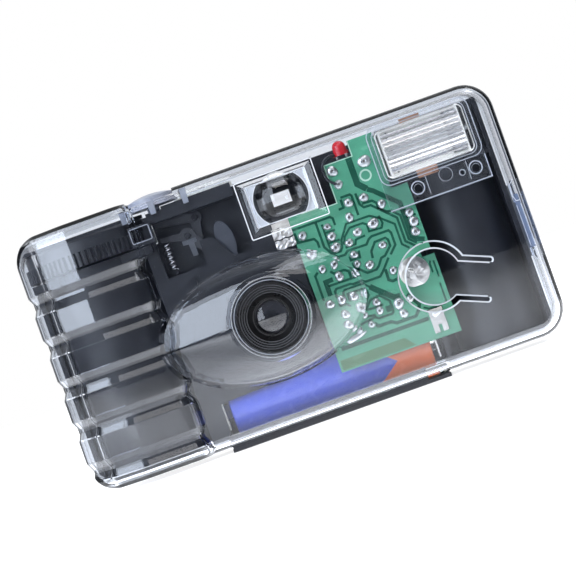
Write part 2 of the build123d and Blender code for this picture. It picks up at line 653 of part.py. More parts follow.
def viewfinder_eyepiece():
    outline = rectangle(
        FINDER_X - EYEPIECE_WIDTH / 2 - 1, FINDER_X + EYEPIECE_WIDTH / 2 + 1,
        TUNNEL_Z - EYEPIECE_HEIGHT / 2 - 1, TUNNEL_Z + EYEPIECE_HEIGHT / 2 + 1, 0.8,
    )
    plate = slab_y(outline, BODY_REAR_Y, BODY_REAR_Y + 0.9)
    crown_radius = 24.0
    crown = Pos(FINDER_X, 15.75 - crown_radius, TUNNEL_Z) * Sphere(crown_radius)
    pane = block(
        (FINDER_X - EYEPIECE_WIDTH / 2, FINDER_X + EYEPIECE_WIDTH / 2), (BODY_REAR_Y + 0.4, 15.8),
        (TUNNEL_Z - EYEPIECE_HEIGHT / 2, TUNNEL_Z + EYEPIECE_HEIGHT / 2),
    )
    return plate + (pane & crown)


# Shutter mechanism


def shutter_button():
    dome_radius = (BUTTON_RADIUS ** 2 + 0.9 ** 2) / (2 * 0.9)
    crown = Pos(BUTTON_X, BUTTON_Y, BUTTON_TOP - dome_radius) * Sphere(dome_radius)
    cap = rod_z(BUTTON_X, BUTTON_Y, BUTTON_RADIUS, 61.6, BUTTON_TOP + 1) & crown
    flange = rod_z(BUTTON_X, BUTTON_Y, 6.2, 60.8, 61.7)
    stem = turned_z(
        BUTTON_X, BUTTON_Y, (0, 61.0), (1.5, 61.0), (1.5, 58.2), (0.8, 57.3), (0, 57.3)
    )
    return cap + flange + stem


def release_lever():
    x, z = RELEASE_PIVOT
    front, back = -2.4, -1.2
    hub = rod_y(x, z, 1.7, front, back)
    arm = slab_y(polygon((x, z + 1.5), (x, z - 0.9), (-25.2, z + 0.5), (-25.2, z + 1.7)), front, back)
    latch = slab_y(polygon((x - 1.2, z), (x + 1.2, z), (x + 0.4, z - 5.2), (x - 1.6, z - 5.2)), front, back)
    return hub + arm + latch - rod_y(x, z, 0.7 + RUNNING_GAP, -5, 0)


def shutter_lever():
    x, z = LEVER_PIVOT
    front, back = -3.8, -2.7
    hub = rod_y(x, z, 1.9, front, back)
    spring_arm = slab_y(
        polygon((x, z + 1.1), (x, z - 1.0), (SPRING_X - 0.9, z + 0.5), (SPRING_X - 0.9, z + 1.5)),
        front, back,
    )
    kick_arm = slab_y(
        polygon((x - 1.2, z - 0.6), (x + 1.4, z + 0.6), (-13.6, 47.2), (-13.9, 45.7), (-15.2, 45.9)),
        front, back,
    )
    kick_pin = block((-15.0, -13.9), (-4.6, front + 0.1), (46.0, 47.2))
    lever = hub + spring_arm + kick_arm + kick_pin
    return lever - rod_y(x, z, 0.7 + RUNNING_GAP, -6, 0)


def shutter_spring():
    """The coil spring that pulls the shutter lever round."""
    turns = 5
    wire, radius = 0.16, 0.8
    height = SPRING_TOP - SPRING_BOTTOM
    path = Helix(pitch=height / turns, height=height, radius=radius)
    section = Plane(origin=path @ 0, z_dir=path % 0) * Circle(wire)
    coil = sweep(section, path)
    return Pos(SPRING_X, -3.25, SPRING_BOTTOM) * coil


def shutter_blade():
    x, z = BLADE_PIVOT
    cap = Pos(LENS_X, LENS_Z) * Circle(3.3)
    arm = polygon((x - 1.5, z), (x + 1.5, z), (LENS_X + 1.6, LENS_Z), (LENS_X - 1.6, LENS_Z))
    tail = Pos(x + 0.2, z + 4.4) * Rot(0, 0, 6) * Ellipse(2.1, 4.6)
    hub = Pos(x, z) * Circle(1.9)
    outline = cap + arm + tail + hub - Pos(x, z) * Circle(0.6 + RUNNING_GAP)
    return slab_y(outline, *BLADE_Y)


# Film transport


def gear_outline(teeth, root_radius, tip_radius):
    """A toothed rim, each tooth with a flat root and a flat tip."""
    points = []
    corners = ((0.0, root_radius), (0.25, root_radius), (0.4, tip_radius), (0.8, tip_radius))
    for tooth in range(teeth):
        for share, radius in corners:
            angle = 2 * math.pi * (tooth + share) / teeth
            points.append((radius * math.cos(angle), radius * math.sin(angle)))
    return polygon(*points)


def thumbwheel():
    place = Pos(CARTRIDGE_X, CARTRIDGE_Y)
    knurl = slab_z(place * gear_outline(WHEEL_TEETH, WHEEL_RADIUS - 0.6, WHEEL_RADIUS),
                   WHEEL_BOTTOM, WHEEL_KNURL_TOP)
    rim_top = turned_z(
        CARTRIDGE_X, CARTRIDGE_Y,
        (0, WHEEL_KNURL_TOP - 0.2), (WHEEL_RADIUS - 0.7, WHEEL_KNURL_TOP - 0.2),
        (WHEEL_RADIUS - 0.7, WHEEL_TOP - 0.5), (WHEEL_RADIUS - 1.2, WHEEL_TOP), (0, WHEEL_TOP),
    )
    dish = turned_z(
        CARTRIDGE_X, CARTRIDGE_Y,
        (4.0, WHEEL_TOP + 0.1), (WHEEL_RADIUS - 2.6, WHEEL_TOP + 0.1),
        (WHEEL_RADIUS - 3.2, WHEEL_TOP - 1.4), (4.4, WHEEL_TOP - 1.4),
    )
    pivot = rod_z(CARTRIDGE_X, CARTRIDGE_Y, 1.5, WHEEL_TOP - 0.2, 60.6)
    fork = rod_z(CARTRIDGE_X, CARTRIDGE_Y, 2.6, 50.0, WHEEL_BOTTOM + 0.2)
    key_slot = block((CARTRIDGE_X - 0.6, CARTRIDGE_X + 0.6), (CARTRIDGE_Y - 4, CARTRIDGE_Y + 4), (49, 52))
    return knurl + rim_top - dish + pivot + (fork - key_slot)


def cartridge_spool():
    x, y = CARTRIDGE_X, CARTRIDGE_Y
    core = rod_z(x, y, 5.6, 7.0, 47.0)
    flanges = rod_z(x, y, 11.2, 7.0, 8.0) + rod_z(x, y, 11.2, 46.0, 47.0)
    hub = rod_z(x, y, 4.0, 4.9, 52.2)
    socket = rod_z(x, y, 2.75, 49.6, 53)
    key = block((x - 0.45, x + 0.45), (y - 2.9, y + 2.9), (49.5, 51.8))
    return core + flanges + hub - socket + key


def film_cartridge():
    x, y = CARTRIDGE_X, CARTRIDGE_Y
    shell = rod_z(x, y, CARTRIDGE_RADIUS, CARTRIDGE_BOTTOM, CARTRIDGE_TOP)
    shell = shell - rod_z(x, y, CARTRIDGE_RADIUS - 0.6, CARTRIDGE_BOTTOM + 0.9, CARTRIDGE_TOP - 0.9)
    shell = shell - rod_z(x, y, 4.2, 0, 60)
    lip_top = y + CARTRIDGE_RADIUS
    lip = block((x, -29.4), (lip_top - 1.6, lip_top), (CARTRIDGE_BOTTOM + 1.2, CARTRIDGE_TOP - 1.2))
    lip = lip - rod_z(x, y, CARTRIDGE_RADIUS - 0.6, 0, 60)
    return shell + lip


def perforated_film(left, right):
    strip = block(
        (left, right), (FILM_Y, FILM_Y + FILM_THICKNESS),
        (LENS_Z - FILM_WIDTH / 2, LENS_Z + FILM_WIDTH / 2),
    )
    first = SPROCKET_X - PERFORATION_PITCH * int((SPROCKET_X - left) / PERFORATION_PITCH)
    holes = []
    x = first
    while x < right - 1.5:
        for side in (-1, 1):
            middle = LENS_Z + side * (PERFORATION_ROW + 0.2)
            holes.append(block(
                (x - PERFORATION_WIDTH / 2, x + PERFORATION_WIDTH / 2), (FILM_Y - 1, FILM_Y + 1),
                (middle - PERFORATION_HEIGHT / 2, middle + PERFORATION_HEIGHT / 2),
            ))
        x += PERFORATION_PITCH
    return strip - holes


def film_strip():
    return perforated_film(-29.2, 42.5)


def film_roll():
    half = FILM_WIDTH / 2
    roll = rod_z(SUPPLY_X, SUPPLY_Y, FILM_ROLL_RADIUS, LENS_Z - half, LENS_Z + half)
    return roll - rod_z(SUPPLY_X, SUPPLY_Y, SPOOL_CORE_RADIUS + 0.02, 0, 60)


def supply_spool():
    x, y = SUPPLY_X, SUPPLY_Y
    core = rod_z(x, y, SPOOL_CORE_RADIUS, 5.0, 45.8)
    flanges = rod_z(x, y, 8.6, 8.2, 9.2) + rod_z(x, y, 8.6, 44.8, 45.8)
    pins = rod_z(x, y, 1.6, 3.6, 47.2)
    return core + flanges + pins


def sprocket_wheel():
    x, y = SPROCKET_X, SPROCKET_Y
    disc = rod_z(x, y, SPROCKET_DISC_RADIUS, SPROCKET_BOTTOM, SPROCKET_TOP)
    shaft = rod_z(x, y, SHAFT_RADIUS, SPROCKET_TOP - 0.2, 60.2)
    foot = rod_z(x, y, SHAFT_RADIUS, 39.4, SPROCKET_BOTTOM + 0.2)
    teeth = []
    for tooth in range(SPROCKET_TEETH):
        turn = 360 * tooth / SPROCKET_TEETH
        spike = loft([
            (Plane.YZ.offset(SPROCKET_DISC_RADIUS - 0.4) * Rectangle(1.5, 1.8)).faces()[0],
            (Plane.YZ.offset(SPROCKET_PITCH_RADIUS) * Rectangle(0.8, 1.2)).faces()[0],
        ])
        teeth.append(Pos(x, y, LENS_Z + PERFORATION_ROW + 0.5) * Rot(0, 0, turn) * spike)
    return joined([disc, shaft, foot] + teeth)


def winding_cam():
    x, y = SPROCKET_X, SPROCKET_Y
    outline = Pos(x, y) * (Circle(3.2) + Pos(1.6, 0) * Circle(2.6))
    cam = slab_z(outline, 47.0, 49.6)
    collar = rod_z(x, y, 2.5, 49.4, 52.0)
    return cam + collar - rod_z(x, y, SHAFT_RADIUS + 0.02, 40, 60)


def counter_dial():
    place = Pos(DIAL_X, DIAL_Y)
    disc = slab_z(place * gear_outline(30, DIAL_RADIUS - 0.5, DIAL_RADIUS), DIAL_BOTTOM, DIAL_TOP)
    return disc - rod_z(DIAL_X, DIAL_Y, 0.9 + RUNNING_GAP, 50, 70)


def wind_pawl():
    """The stop that drops into the rim of the thumb wheel after each frame."""
    x, y = PAWL_X, PAWL_Y
    arm = polygon((x - 0.9, y - 0.8), (x + 0.8, y + 0.9), (x - 2.4, y + 3.6), (x - 2.95, y + 2.8))
    outline = Pos(x, y) * Circle(1.2) + arm - Pos(x, y) * Circle(0.55 + RUNNING_GAP)
    return slab_z(outline, 53.2, 54.6)


# Flash


def board_outline():
    return polygon(
        (BOARD_LEFT, BOARD_BOTTOM), (BOARD_RIGHT, BOARD_BOTTOM), (BOARD_RIGHT, 28.4), (31.6, 28.4),
        (31.6, 29.8), (34.2, 29.8), (34.2, 46.0), (30.2, 46.0), (30.2, 59.8), (24.0, 59.8),
        (24.0, 56.2), (17.0, 56.2), (17.0, 47.0), (BOARD_LEFT, 47.0),
    )


def circuit_board():
    contact_slot = block((28.4, 32.2), (BOARD_FRONT_Y - 1, BOARD_BACK_Y + 1), (15.7, 16.3))
    return slab_y(board_outline(), BOARD_FRONT_Y, BOARD_BACK_Y) - contact_slot


SOLDER_POINTS = [
    (18.5, 54.2, 1.2), (26.4, 54.0, 1.4), (18.9, 50.8, 1.0), (19.6, 46.1, 1.0), (23.5, 46.1, 1.0),
    (18.7, 42.8, 1.0), (26.9, 43.2, 1.0), (7.0, 42.4, 1.0), (13.1, 42.4, 0.8), (13.3, 40.0, 1.0),
    (13.4, 37.3, 1.1), (16.8, 37.3, 0.9), (19.3, 38.9, 1.0), (23.5, 39.7, 1.2), (32.3, 39.3, 1.0),
    (32.6, 36.9, 1.1), (32.1, 34.5, 1.0), (7.5, 37.5, 1.1), (16.9, 34.3, 0.9), (23.9, 34.2, 0.9),
    (11.5, 33.5, 0.9), (8.6, 33.5, 0.9), (16.9, 32.0, 0.8), (19.5, 30.8, 1.0), (11.8, 30.6, 1.0),
    (15.6, 30.0, 1.0), (24.2, 27.7, 0.9), (7.6, 25.2, 1.0), (10.5, 25.3, 1.0), (13.4, 25.2, 1.0),
    (15.8, 25.0, 0.9), (13.9, 22.3, 1.0), (10.2, 21.8, 1.0), (18.1, 22.0, 0.9), (18.1, 20.0, 0.9),
    (14.5, 20.2, 0.8), (10.1, 19.4, 1.0), (22.9, 20.0, 1.2), (23.2, 17.5, 1.0), (15.3, 17.6, 0.8),
]
SOLDER_HEIGHT = 0.6


def solder_joints():
    """The soldered wire ends that stand up from the board."""
    joints = []
    for x, z, radius in SOLDER_POINTS:
        shoulder = BOARD_FRONT_Y - 0.6 * SOLDER_HEIGHT
        tip = BOARD_FRONT_Y - SOLDER_HEIGHT
        joints.append(turned_y(
            x, z,
            (0, BOARD_FRONT_Y), (radius, BOARD_FRONT_Y), (0.55 * radius, shoulder),
            (0.3 * radius, tip), (0, tip),
        ))
    return Compound(children=joints)


def ready_lamp():
    x, y = 21.9, -6.2
    bulb = rod_z(x, y, 1.6, 57.9, 59.1) + Pos(x, y, 59.1) * Sphere(1.6)
    flange = rod_z(x, y, 1.9, 57.2, 58.0)
    leads = [block((lead - 0.25, lead + 0.25), (y - 0.25, y + 0.25), (54.0, 57.4)) for lead in (20.7, 23.0)]
    return joined([bulb, flange] + leads)


def flash_lens():
    flange = slab_y(rectangle(FLASH_LEFT, FLASH_RIGHT, FLASH_BOTTOM, FLASH_TOP, 2.4), *FLASH_FLANGE_Y)
    plate = block((FLASH_LEFT + 0.1, 53.4), FLASH_FLANGE_Y, (FLASH_PLATE_BOTTOM, FLASH_BOTTOM + 3))
    left, right, bottom, top = FLASH_WINDOW
    window = slab_y(rectangle(left, right, bottom, top, 1.5), FLASH_FRONT_Y, FLASH_FLANGE_Y[1])
    window = fillet(window.faces().sort_by(Axis.Y)[0].edges(), 0.5)
    lens = flange + plate + window
    pocket = block((left + 1.4, right - 1.4), (FLASH_FRONT_Y + 1.4, -9), (bottom + 1.0, top - 1.0))
    lens = lens - pocket
    ribs = []
    count = 9
    pitch = (top - bottom - 2.4) / count
    root = FLASH_FRONT_Y + 1.3
    for rib in range(count):
        low = bottom + 1.2 + rib * pitch
        outline = polygon((root, low), (root, low + pitch), (root + 0.6, low + pitch / 2))
        ribs.append(slab_x(outline, left + 1.3, right - 1.3))
    bosses = [rod_y(x, FLASH_PIN_Z, 1.6, -10.1, -8.5) for x in FLASH_PIN_X]
    rib_depth = (FLASH_FLANGE_Y[1] - 0.1, FLASH_FLANGE_Y[1] + 0.3)
    for x in (38.4, 48.3):
        ribs.append(block((x - 0.2, x + 0.2), rib_depth, (41.6, 45.8)))
    ribs.append(block((FLASH_LEFT + 0.1, 53.4), rib_depth, (FLASH_PLATE_BOTTOM, FLASH_PLATE_BOTTOM + 0.45)))
    ribs.append(block((52.95, 53.4), rib_depth, (FLASH_PLATE_BOTTOM, FLASH_BOTTOM + 0.5)))
    gate_mark = rod_y(43.1, 44.0, 1.7, *rib_depth) - rod_y(43.1, 44.0, 1.4, -12, -8)
    lens = joined([lens] + ribs + bosses + [gate_mark])
    for x in FLASH_PIN_X:
        lens = lens - rod_y(x, FLASH_PIN_Z, 1.0, -12, -8)
    return lens - rod_y(47.0, FLASH_PIN_Z, 0.5, -12, -8)


def reflector_path(spread):
    """The trough of the reflector in Y and Z, drawn out by an offset."""
    return [
        (-8.95, 48.4 - spread), (-4.4, 50.0 - spread), (-2.5 + spread, 52.2 - spread),
        (-2.5 + spread, 55.2 + spread), (-4.4, 57.2 + spread), (-8.95, 58.8 + spread),
    ]


def flash_reflector():
    outer = slab_x(polygon(*reflector_path(0.5)), REFLECTOR_LEFT, REFLECTOR_RIGHT)
    inner = slab_x(polygon(*reflector_path(0.0)), REFLECTOR_LEFT + 0.6, REFLECTOR_RIGHT - 0.6)
    shell = outer - inner
    return shell - rod_x(TUBE_Y, TUBE_Z, TUBE_RADIUS + 0.1, 28, 55)


def flash_tube():
    glass = rod_x(TUBE_Y, TUBE_Z, TUBE_RADIUS, REFLECTOR_LEFT - 0.1, REFLECTOR_RIGHT + 0.1)
    pins = rod_x(TUBE_Y, TUBE_Z, 0.45, REFLECTOR_LEFT - 1.0, REFLECTOR_RIGHT + 1.2)
    return glass + pins


def trigger_foil():
    """A copper strip round the back of the reflector, its ends folded to the front."""
    outside = slab_x(polygon(*reflector_path(0.85)), 37.0, 42.0)
    inside = slab_x(polygon(*reflector_path(0.55)), 36.0, 43.0)
    lower_tab = block((37.0, 42.0), (-9.2, -8.9), (45.9, 47.85))
    upper_tab = block((37.0, 42.0), (-9.2, -8.9), (59.35, 60.4))
    return (outside - inside) + lower_tab + upper_tab


def flash_capacitor():
    can = rod_z(24.0, 5.0, 6.4, 19.0, 46.0)
    can = fillet(can.edges().filter_by(GeomType.CIRCLE), 0.8)
    groove = rod_z(24.0, 5.0, 8.0, 43.2, 44.0) - rod_z(24.0, 5.0, 6.0, 43.0, 44.2)
    leads = [rod_y(x, 47.3, 0.35, BOARD_BACK_Y, 5.0) for x in (22.0, 26.0)]
    feet = [rod_z(x, 5.0, 0.35, 45.8, 47.6) for x in (22.0, 26.0)]
    return joined([can - groove] + leads + feet)


def flash_transformer():
    core = block((7.4, 16.2), (BOARD_BACK_Y, -0.2), (30.0, 39.4))
    winding = block((8.6, 15.0), (-6.6, 0.6), (31.2, 38.2))
    return core + winding


def trigger_coil():
    bobbin = rod_z(29.6, -4.2, 2.6, 33.0, 42.0)
    ends = rod_z(29.6, -4.2, 3.1, 32.2, 33.0) + rod_z(29.6, -4.2, 3.1, 42.0, 42.8)
    return bobbin + ends


def transistor():
    can = rod_y(12.0, 24.0, 2.4, -7.0, -2.2) & block((9, 15), (-8, 0), (22.6, 28))
    legs = [rod_y(x, 24.2, 0.25, BOARD_BACK_Y, -6.8) for x in (10.8, 12.0, 13.2)]
    return joined([can] + legs)


def resistors():
    """Axial resistors, each lying flat on the back of the board with two bent leads."""
    pieces = []
    for x, z in ((9.0, 43.4), (14.4, 43.4), (19.6, 32.0), (19.0, 26.0), (28.0, 26.6)):
        body = rod_z(x, -5.9, 0.9, z - 2.0, z + 2.0)
        legs = [rod_y(x, z + side * 2.6, 0.25, BOARD_BACK_Y, -5.65) for side in (-1, 1)]
        wire = rod_z(x, -5.9, 0.25, z - 2.85, z + 2.85)
        pieces.append(joined([body, wire] + legs))
    return Compound(children=pieces)


def small_capacitors():
    film = block((17.6, 24.6), (BOARD_BACK_Y, -3.4), (48.4, 53.4))
    film = fillet(film.edges(), 0.6)
    disc = rod_x(-4.6, 21.6, 2.6, 24.0, 26.2)
    return Compound(children=[film, disc])


def diode():
    body = rod_z(31.0, -6.2, 1.2, 19.6, 24.0)
    wire = rod_z(31.0, -6.2, 0.3, 18.2, 25.4)
    legs = [rod_y(31.0, z, 0.3, BOARD_BACK_Y, -5.95) for z in (18.4, 25.2)]
    return joined([body, wire] + legs)


def sync_contact():
    """Two sprung leaves at the edge of the board, which the shutter closes."""
    leaves = []
    for low in (41.2, 44.2):
        wave = []
        steps = 8
        for step in range(steps + 1):
            x = 0.3 + 4.6 * step / steps
            wave.append((x, -8.95 + 0.2 * math.sin(1.7 * step)))
        back = [(x, y + 0.25) for x, y in reversed(wave)]
        leaves.append(slab_z(polygon(*(wave + back)), low, low + 2.3))
    bar = block((3.6, 5.6), (-9.05, BOARD_FRONT_Y), (41.2, 46.6))
    return joined(leaves + [bar])


def flash_switch_contact():
    """The domed nickel leaf that the flash button presses, and its ring on the board."""
    dome_radius = 3.6
    cap_height = 0.75
    ball_radius = (dome_radius ** 2 + cap_height ** 2) / (2 * cap_height)
    centre_y = BOARD_FRONT_Y - cap_height + ball_radius
    ball = Pos(28.8, centre_y, 25.8) * Sphere(ball_radius)
    cap = rod_y(28.8, 25.8, dome_radius, BOARD_FRONT_Y - 2, BOARD_FRONT_Y) & ball
    base = rod_y(28.8, 25.8, dome_radius, BOARD_FRONT_Y - 0.2, BOARD_FRONT_Y)
    flat = block((24, 34), (-12, -8), (18, 22.4))
    return (cap + base) - flat


# Battery and its contacts


def battery():
    can = rod_x(BATTERY_Y, BATTERY_Z, BATTERY_RADIUS, BATTERY_LEFT, BATTERY_RIGHT)
    can = fillet(can.edges().filter_by(GeomType.CIRCLE), 0.6)
    nub = rod_x(BATTERY_Y, BATTERY_Z, 2.7, BATTERY_RIGHT - 0.2, BATTERY_RIGHT + BATTERY_NUB)
    return can + nub


def battery_contact_positive():
    """A strip from the battery's end up behind the board, through its slot and down its front."""
    plate = block((27.9, 28.3), (-5.0, 6.5), (5.0, 13.0))
    side = block((27.9, 28.3), (-7.2, -4.9), (11.0, 13.0))
    riser = block((27.9, 32.0), (-7.2, -6.9), (11.0, 16.15))
    crossing = block((28.6, 32.0), (-8.9, -6.9), (15.85, 16.15))
    tail = block((28.6, 32.0), (-8.9, BOARD_FRONT_Y), (10.5, 16.15))
    fork = block((29.9, 30.7), (-10, -8), (10, 12.3))
    return joined([plate, side, riser, crossing, tail]) - fork


def battery_contact_negative():
    plate = block((-24.4, -24.0), (-3.4, 8.4), (5.0, 13.4))
    spring_leaf = slab_z(
        polygon((-24.1, -2.0), (-22.7, 1.6), (-22.7, 3.4), (-24.1, 7.0), (-24.1, 6.4), (-23.1, 3.2),
                (-23.1, 1.8), (-24.1, -1.4)),
        7.6, 11.0,
    )
    return plate + spring_leaf


def flash_button():
    outline = tongue_outline(TONGUE_RADIUS, TONGUE_HALF_WIDTH, TONGUE_ROOT - 0.08)
    tongue = slab_y(outline, FRONT_Y, INSIDE_FRONT_Y)
    front_edges = [edge for edge in tongue.faces().sort_by(Axis.Y)[0].edges() if edge.center().X < 44]
    tongue = chamfer(front_edges, TONGUE_CHAMFER)
    pip = rod_y(TONGUE_X - 2.6, TONGUE_Z + 1.6, 1.4, INSIDE_FRONT_Y - 0.1, INSIDE_FRONT_Y + 0.2)
    return tongue + pip


NODES = [
    front_cover, rear_cover, battery_door, main_body, top_cover, film_back,
    lens_holder, taking_lens, lens_retainer, aperture_plate, viewfinder_front, viewfinder_eyepiece,
    shutter_button, release_lever, shutter_lever, shutter_spring, shutter_blade,
    thumbwheel, cartridge_spool, film_cartridge, film_strip, film_roll, supply_spool,
    sprocket_wheel, winding_cam, counter_dial, wind_pawl,
    circuit_board, solder_joints, ready_lamp, flash_lens, flash_reflector, flash_tube, trigger_foil,
    flash_capacitor, flash_transformer, trigger_coil, transistor, resistors, small_capacitors, diode,
    sync_contact, flash_switch_contact, battery, battery_contact_positive, battery_contact_negative,
    flash_button,
]

os.makedirs("parts", exist_ok=True)
for node in NODES:
    export_step(node(), "parts/" + node.__name__ + ".step")
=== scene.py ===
import bpy
import bmesh
import math
import random
from mathutils import Matrix, Vector


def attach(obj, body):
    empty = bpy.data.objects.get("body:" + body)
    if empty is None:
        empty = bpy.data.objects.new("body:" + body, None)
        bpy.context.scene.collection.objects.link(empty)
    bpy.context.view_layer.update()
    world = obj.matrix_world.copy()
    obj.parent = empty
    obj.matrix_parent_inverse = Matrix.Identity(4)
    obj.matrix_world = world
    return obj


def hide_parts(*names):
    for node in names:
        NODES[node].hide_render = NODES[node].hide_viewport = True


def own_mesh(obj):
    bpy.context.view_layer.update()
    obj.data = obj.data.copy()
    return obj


# The looks of a single-use film camera in a clear case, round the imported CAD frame. Lengths in the
# pieces are in mm, with the front at negative Y. The floor, the lamps and the camera are in metres.

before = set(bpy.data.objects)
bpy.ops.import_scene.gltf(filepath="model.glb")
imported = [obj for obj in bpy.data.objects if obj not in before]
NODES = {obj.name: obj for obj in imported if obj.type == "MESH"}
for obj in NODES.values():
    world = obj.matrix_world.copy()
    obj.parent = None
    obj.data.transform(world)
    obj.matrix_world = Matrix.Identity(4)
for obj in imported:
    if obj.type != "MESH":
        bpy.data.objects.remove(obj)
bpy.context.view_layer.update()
MM = 0.001


# Shader helpers

FINE_BUMP = 0.00003
METAL_BUMP = 0.0002
CLEAR_BUMP = 0.0004
CLEAR_IOR = 1.53
CLEAR_LAMP_SHARE = 0.94
SMOKE_TINT = (0.82, 0.86, 0.95, 1)


class Tree:
    """The node tree of a material or world, with short calls to add and join nodes."""

    def __init__(self, owner, output):
        owner.use_nodes = True
        self.owner = owner
        self.nodes = owner.node_tree.nodes
        self.links = owner.node_tree.links
        self.nodes.clear()
        self.output = self.nodes.new("ShaderNodeOutput" + output)

    def node(self, kind, values=None, **settings):
        made = self.nodes.new("ShaderNode" + kind)
        for key, value in settings.items():
            setattr(made, key, value)
        for key, value in (values or {}).items():
            if isinstance(value, bpy.types.NodeSocket):
                self.links.new(value, made.inputs[key])
            else:
                made.inputs[key].default_value = value
        return made

    def surface(self, made):
        """Ends the tree with the given node, and gives back its material or world."""
        self.links.new(made.outputs[0], self.output.inputs["Surface"])
        return self.owner

    def position(self):
        return self.node("TexCoord").outputs["Object"]

    def math(self, operation, first, second=0.0):
        return self.node("Math", {0: first, 1: second}, operation=operation).outputs[0]

    def noise(self, scale, detail=3.0, stretch=(1, 1, 1)):
        place = self.node("Mapping", {"Vector": self.position(), "Scale": stretch}).outputs[0]
        noise = self.node("TexNoise", {"Vector": place, "Scale": scale, "Detail": detail})
        return noise.outputs["Fac"]

    def ramp(self, value, low, high, out_low=0.0, out_high=1.0):
        return self.node("MapRange", {
            "Value": value, "From Min": low, "From Max": high, "To Min": out_low, "To Max": out_high,
        }).outputs[0]

    def blend(self, share, first, second):
        return self.node("Mix", {0: share, 6: first, 7: second}, data_type="RGBA").outputs[2]

    def bump(self, height, strength, distance):
        values = {"Height": height, "Strength": strength, "Distance": distance}
        return self.node("Bump", values).outputs[0]


def material_tree(name):
    return Tree(bpy.data.materials.new(name), "Material")


def rgba(red, green, blue):
    """Screen colour values of 0 to 255, as linear light."""
    linear = []
    for value in (red, green, blue):
        share = value / 255
        linear.append(share / 12.92 if share <= 0.04045 else ((share + 0.055) / 1.055) ** 2.4)
    return (*linear, 1.0)


def scaled(colour, share):
    return tuple(min(1.0, channel * share) for channel in colour[:3]) + (1.0,)


def moulded(name, colour, roughness, grain=0.12, mottle=0.25, specular=0.5):
    """Moulded plastic: a fine grain, faint flow marks and slightly uneven gloss."""
    tree = material_tree(name)
    flow = tree.noise(scale=90, detail=4, stretch=(1, 1, 3))
    fine = tree.noise(scale=2600, detail=2)
    darker, lighter = scaled(colour, 1 - mottle), scaled(colour, 1 + mottle)
    return tree.surface(tree.node("BsdfPrincipled", {
        "Base Color": tree.blend(tree.ramp(flow, 0.35, 0.65), darker, lighter),
        "Roughness": tree.ramp(flow, 0.3, 0.7, roughness - 0.06, roughness + 0.08),
        "Specular IOR Level": specular,
        "Normal": tree.bump(fine, grain, FINE_BUMP),
    }))


def clear(name, tint, roughness=0.015, wave=0.012, density=0.0):
    """Clear plastic. Lamps shine through it, and its surface has the slight waves of a moulding."""
    tree = material_tree(name)
    waves = tree.noise(scale=60, detail=2)
    shader = tree.node("BsdfPrincipled", {
        "Base Color": tint, "Roughness": roughness, "IOR": CLEAR_IOR, "Transmission Weight": 1.0,
        "Normal": tree.bump(waves, wave, CLEAR_BUMP),
    })
    through = tree.node("BsdfTransparent", {"Color": (*[CLEAR_LAMP_SHARE] * 3, 1)})
    if density:
        smoke = tree.node("VolumeAbsorption", {"Color": SMOKE_TINT, "Density": density})
        tree.links.new(smoke.outputs[0], tree.output.inputs["Volume"])
    shadow = tree.node("LightPath").outputs["Is Shadow Ray"]
    mix = tree.node("MixShader", {0: shadow, 1: shader.outputs[0], 2: through.outputs[0]})
    return tree.surface(mix)


def milky(name, colour, roughness, clearness):
    """Cloudy plastic that lets some light through."""
    tree = material_tree(name)
    cloud = tree.noise(scale=220, detail=3)
    return tree.surface(tree.node("BsdfPrincipled", {
        "Base Color": tree.blend(tree.ramp(cloud, 0.35, 0.65), scaled(colour, 0.88), colour),
        "Roughness": roughness, "IOR": 1.5, "Transmission Weight": clearness,
        "Normal": tree.bump(tree.noise(scale=1800, detail=2), 0.1, FINE_BUMP),
    }))


def metal(name, colour, roughness, wave=0.0, wave_scale=400):
    """Bare or plated metal, with fine drawing marks or dents where wave is given."""
    tree = material_tree(name)
    marks = tree.noise(scale=wave_scale, detail=3)
    values = {
        "Base Color": tree.blend(tree.ramp(marks, 0.3, 0.7), scaled(colour, 0.82), colour),
        "Metallic": 1.0,
        "Roughness": tree.ramp(marks, 0.3, 0.7, max(0.03, roughness - 0.05), roughness + 0.08),
    }
    if wave:
        values["Normal"] = tree.bump(marks, wave, METAL_BUMP)
    return tree.surface(tree.node("BsdfPrincipled", values))


def tinted(name, mottle_scale, first, second, roughness, clearness, ior):
    """Coloured glass or resin, mottled from one colour to another."""
    tree = material_tree(name)
    return tree.surface(tree.node("BsdfPrincipled", {
        "Base Color": tree.blend(tree.noise(mottle_scale), first, second),
        "Roughness": roughness, "Transmission Weight": clearness, "IOR": ior,
    }))


# Looks

BLACK = moulded("black_plastic", rgba(21, 22, 27), 0.42, specular=0.4)
BLACK_GLOSS = moulded("black_gloss", rgba(14, 14, 16), 0.28, grain=0.05)
BLACK_LEVER = moulded("lever_plastic", rgba(52, 52, 56), 0.45)
BLACK_WHEEL = moulded("wheel_plastic", rgba(30, 31, 35), 0.38)
WHITE_DIAL = moulded("dial_plastic", rgba(228, 228, 222), 0.4, mottle=0.03)
CLEAR_CASE = clear("clear_case", rgba(250, 252, 255), density=110.0)
CLEAR_BUTTON = milky("milky_button", rgba(168, 172, 186), 0.3, 0.14)
CLEAR_OPTIC = clear("clear_optic", rgba(252, 253, 255), roughness=0.01, wave=0.0)
CLEAR_FLASH = clear("clear_flash", rgba(250, 251, 253), roughness=0.16, wave=0.02)
BLADE_GREY = metal("blade_finish", rgba(84, 86, 92), 0.45, 0.1)
# Painted highlight: a light grey for the bright edge of the shield's window.
SHIELD_HIGHLIGHT = moulded("shield_painted_highlight", rgba(156, 158, 164), 0.35, grain=0.1, mottle=0.1)
STEEL_DARK = metal("blackened_steel", rgba(58, 58, 62), 0.38, 0.1)
SPRING = metal("spring_wire", rgba(228, 228, 232), 0.16)
NICKEL = metal("nickel_plate", rgba(226, 223, 216), 0.2, 0.25, 240)
TIN = metal("tin_solder", rgba(198, 199, 198), 0.3, 0.35, 900)
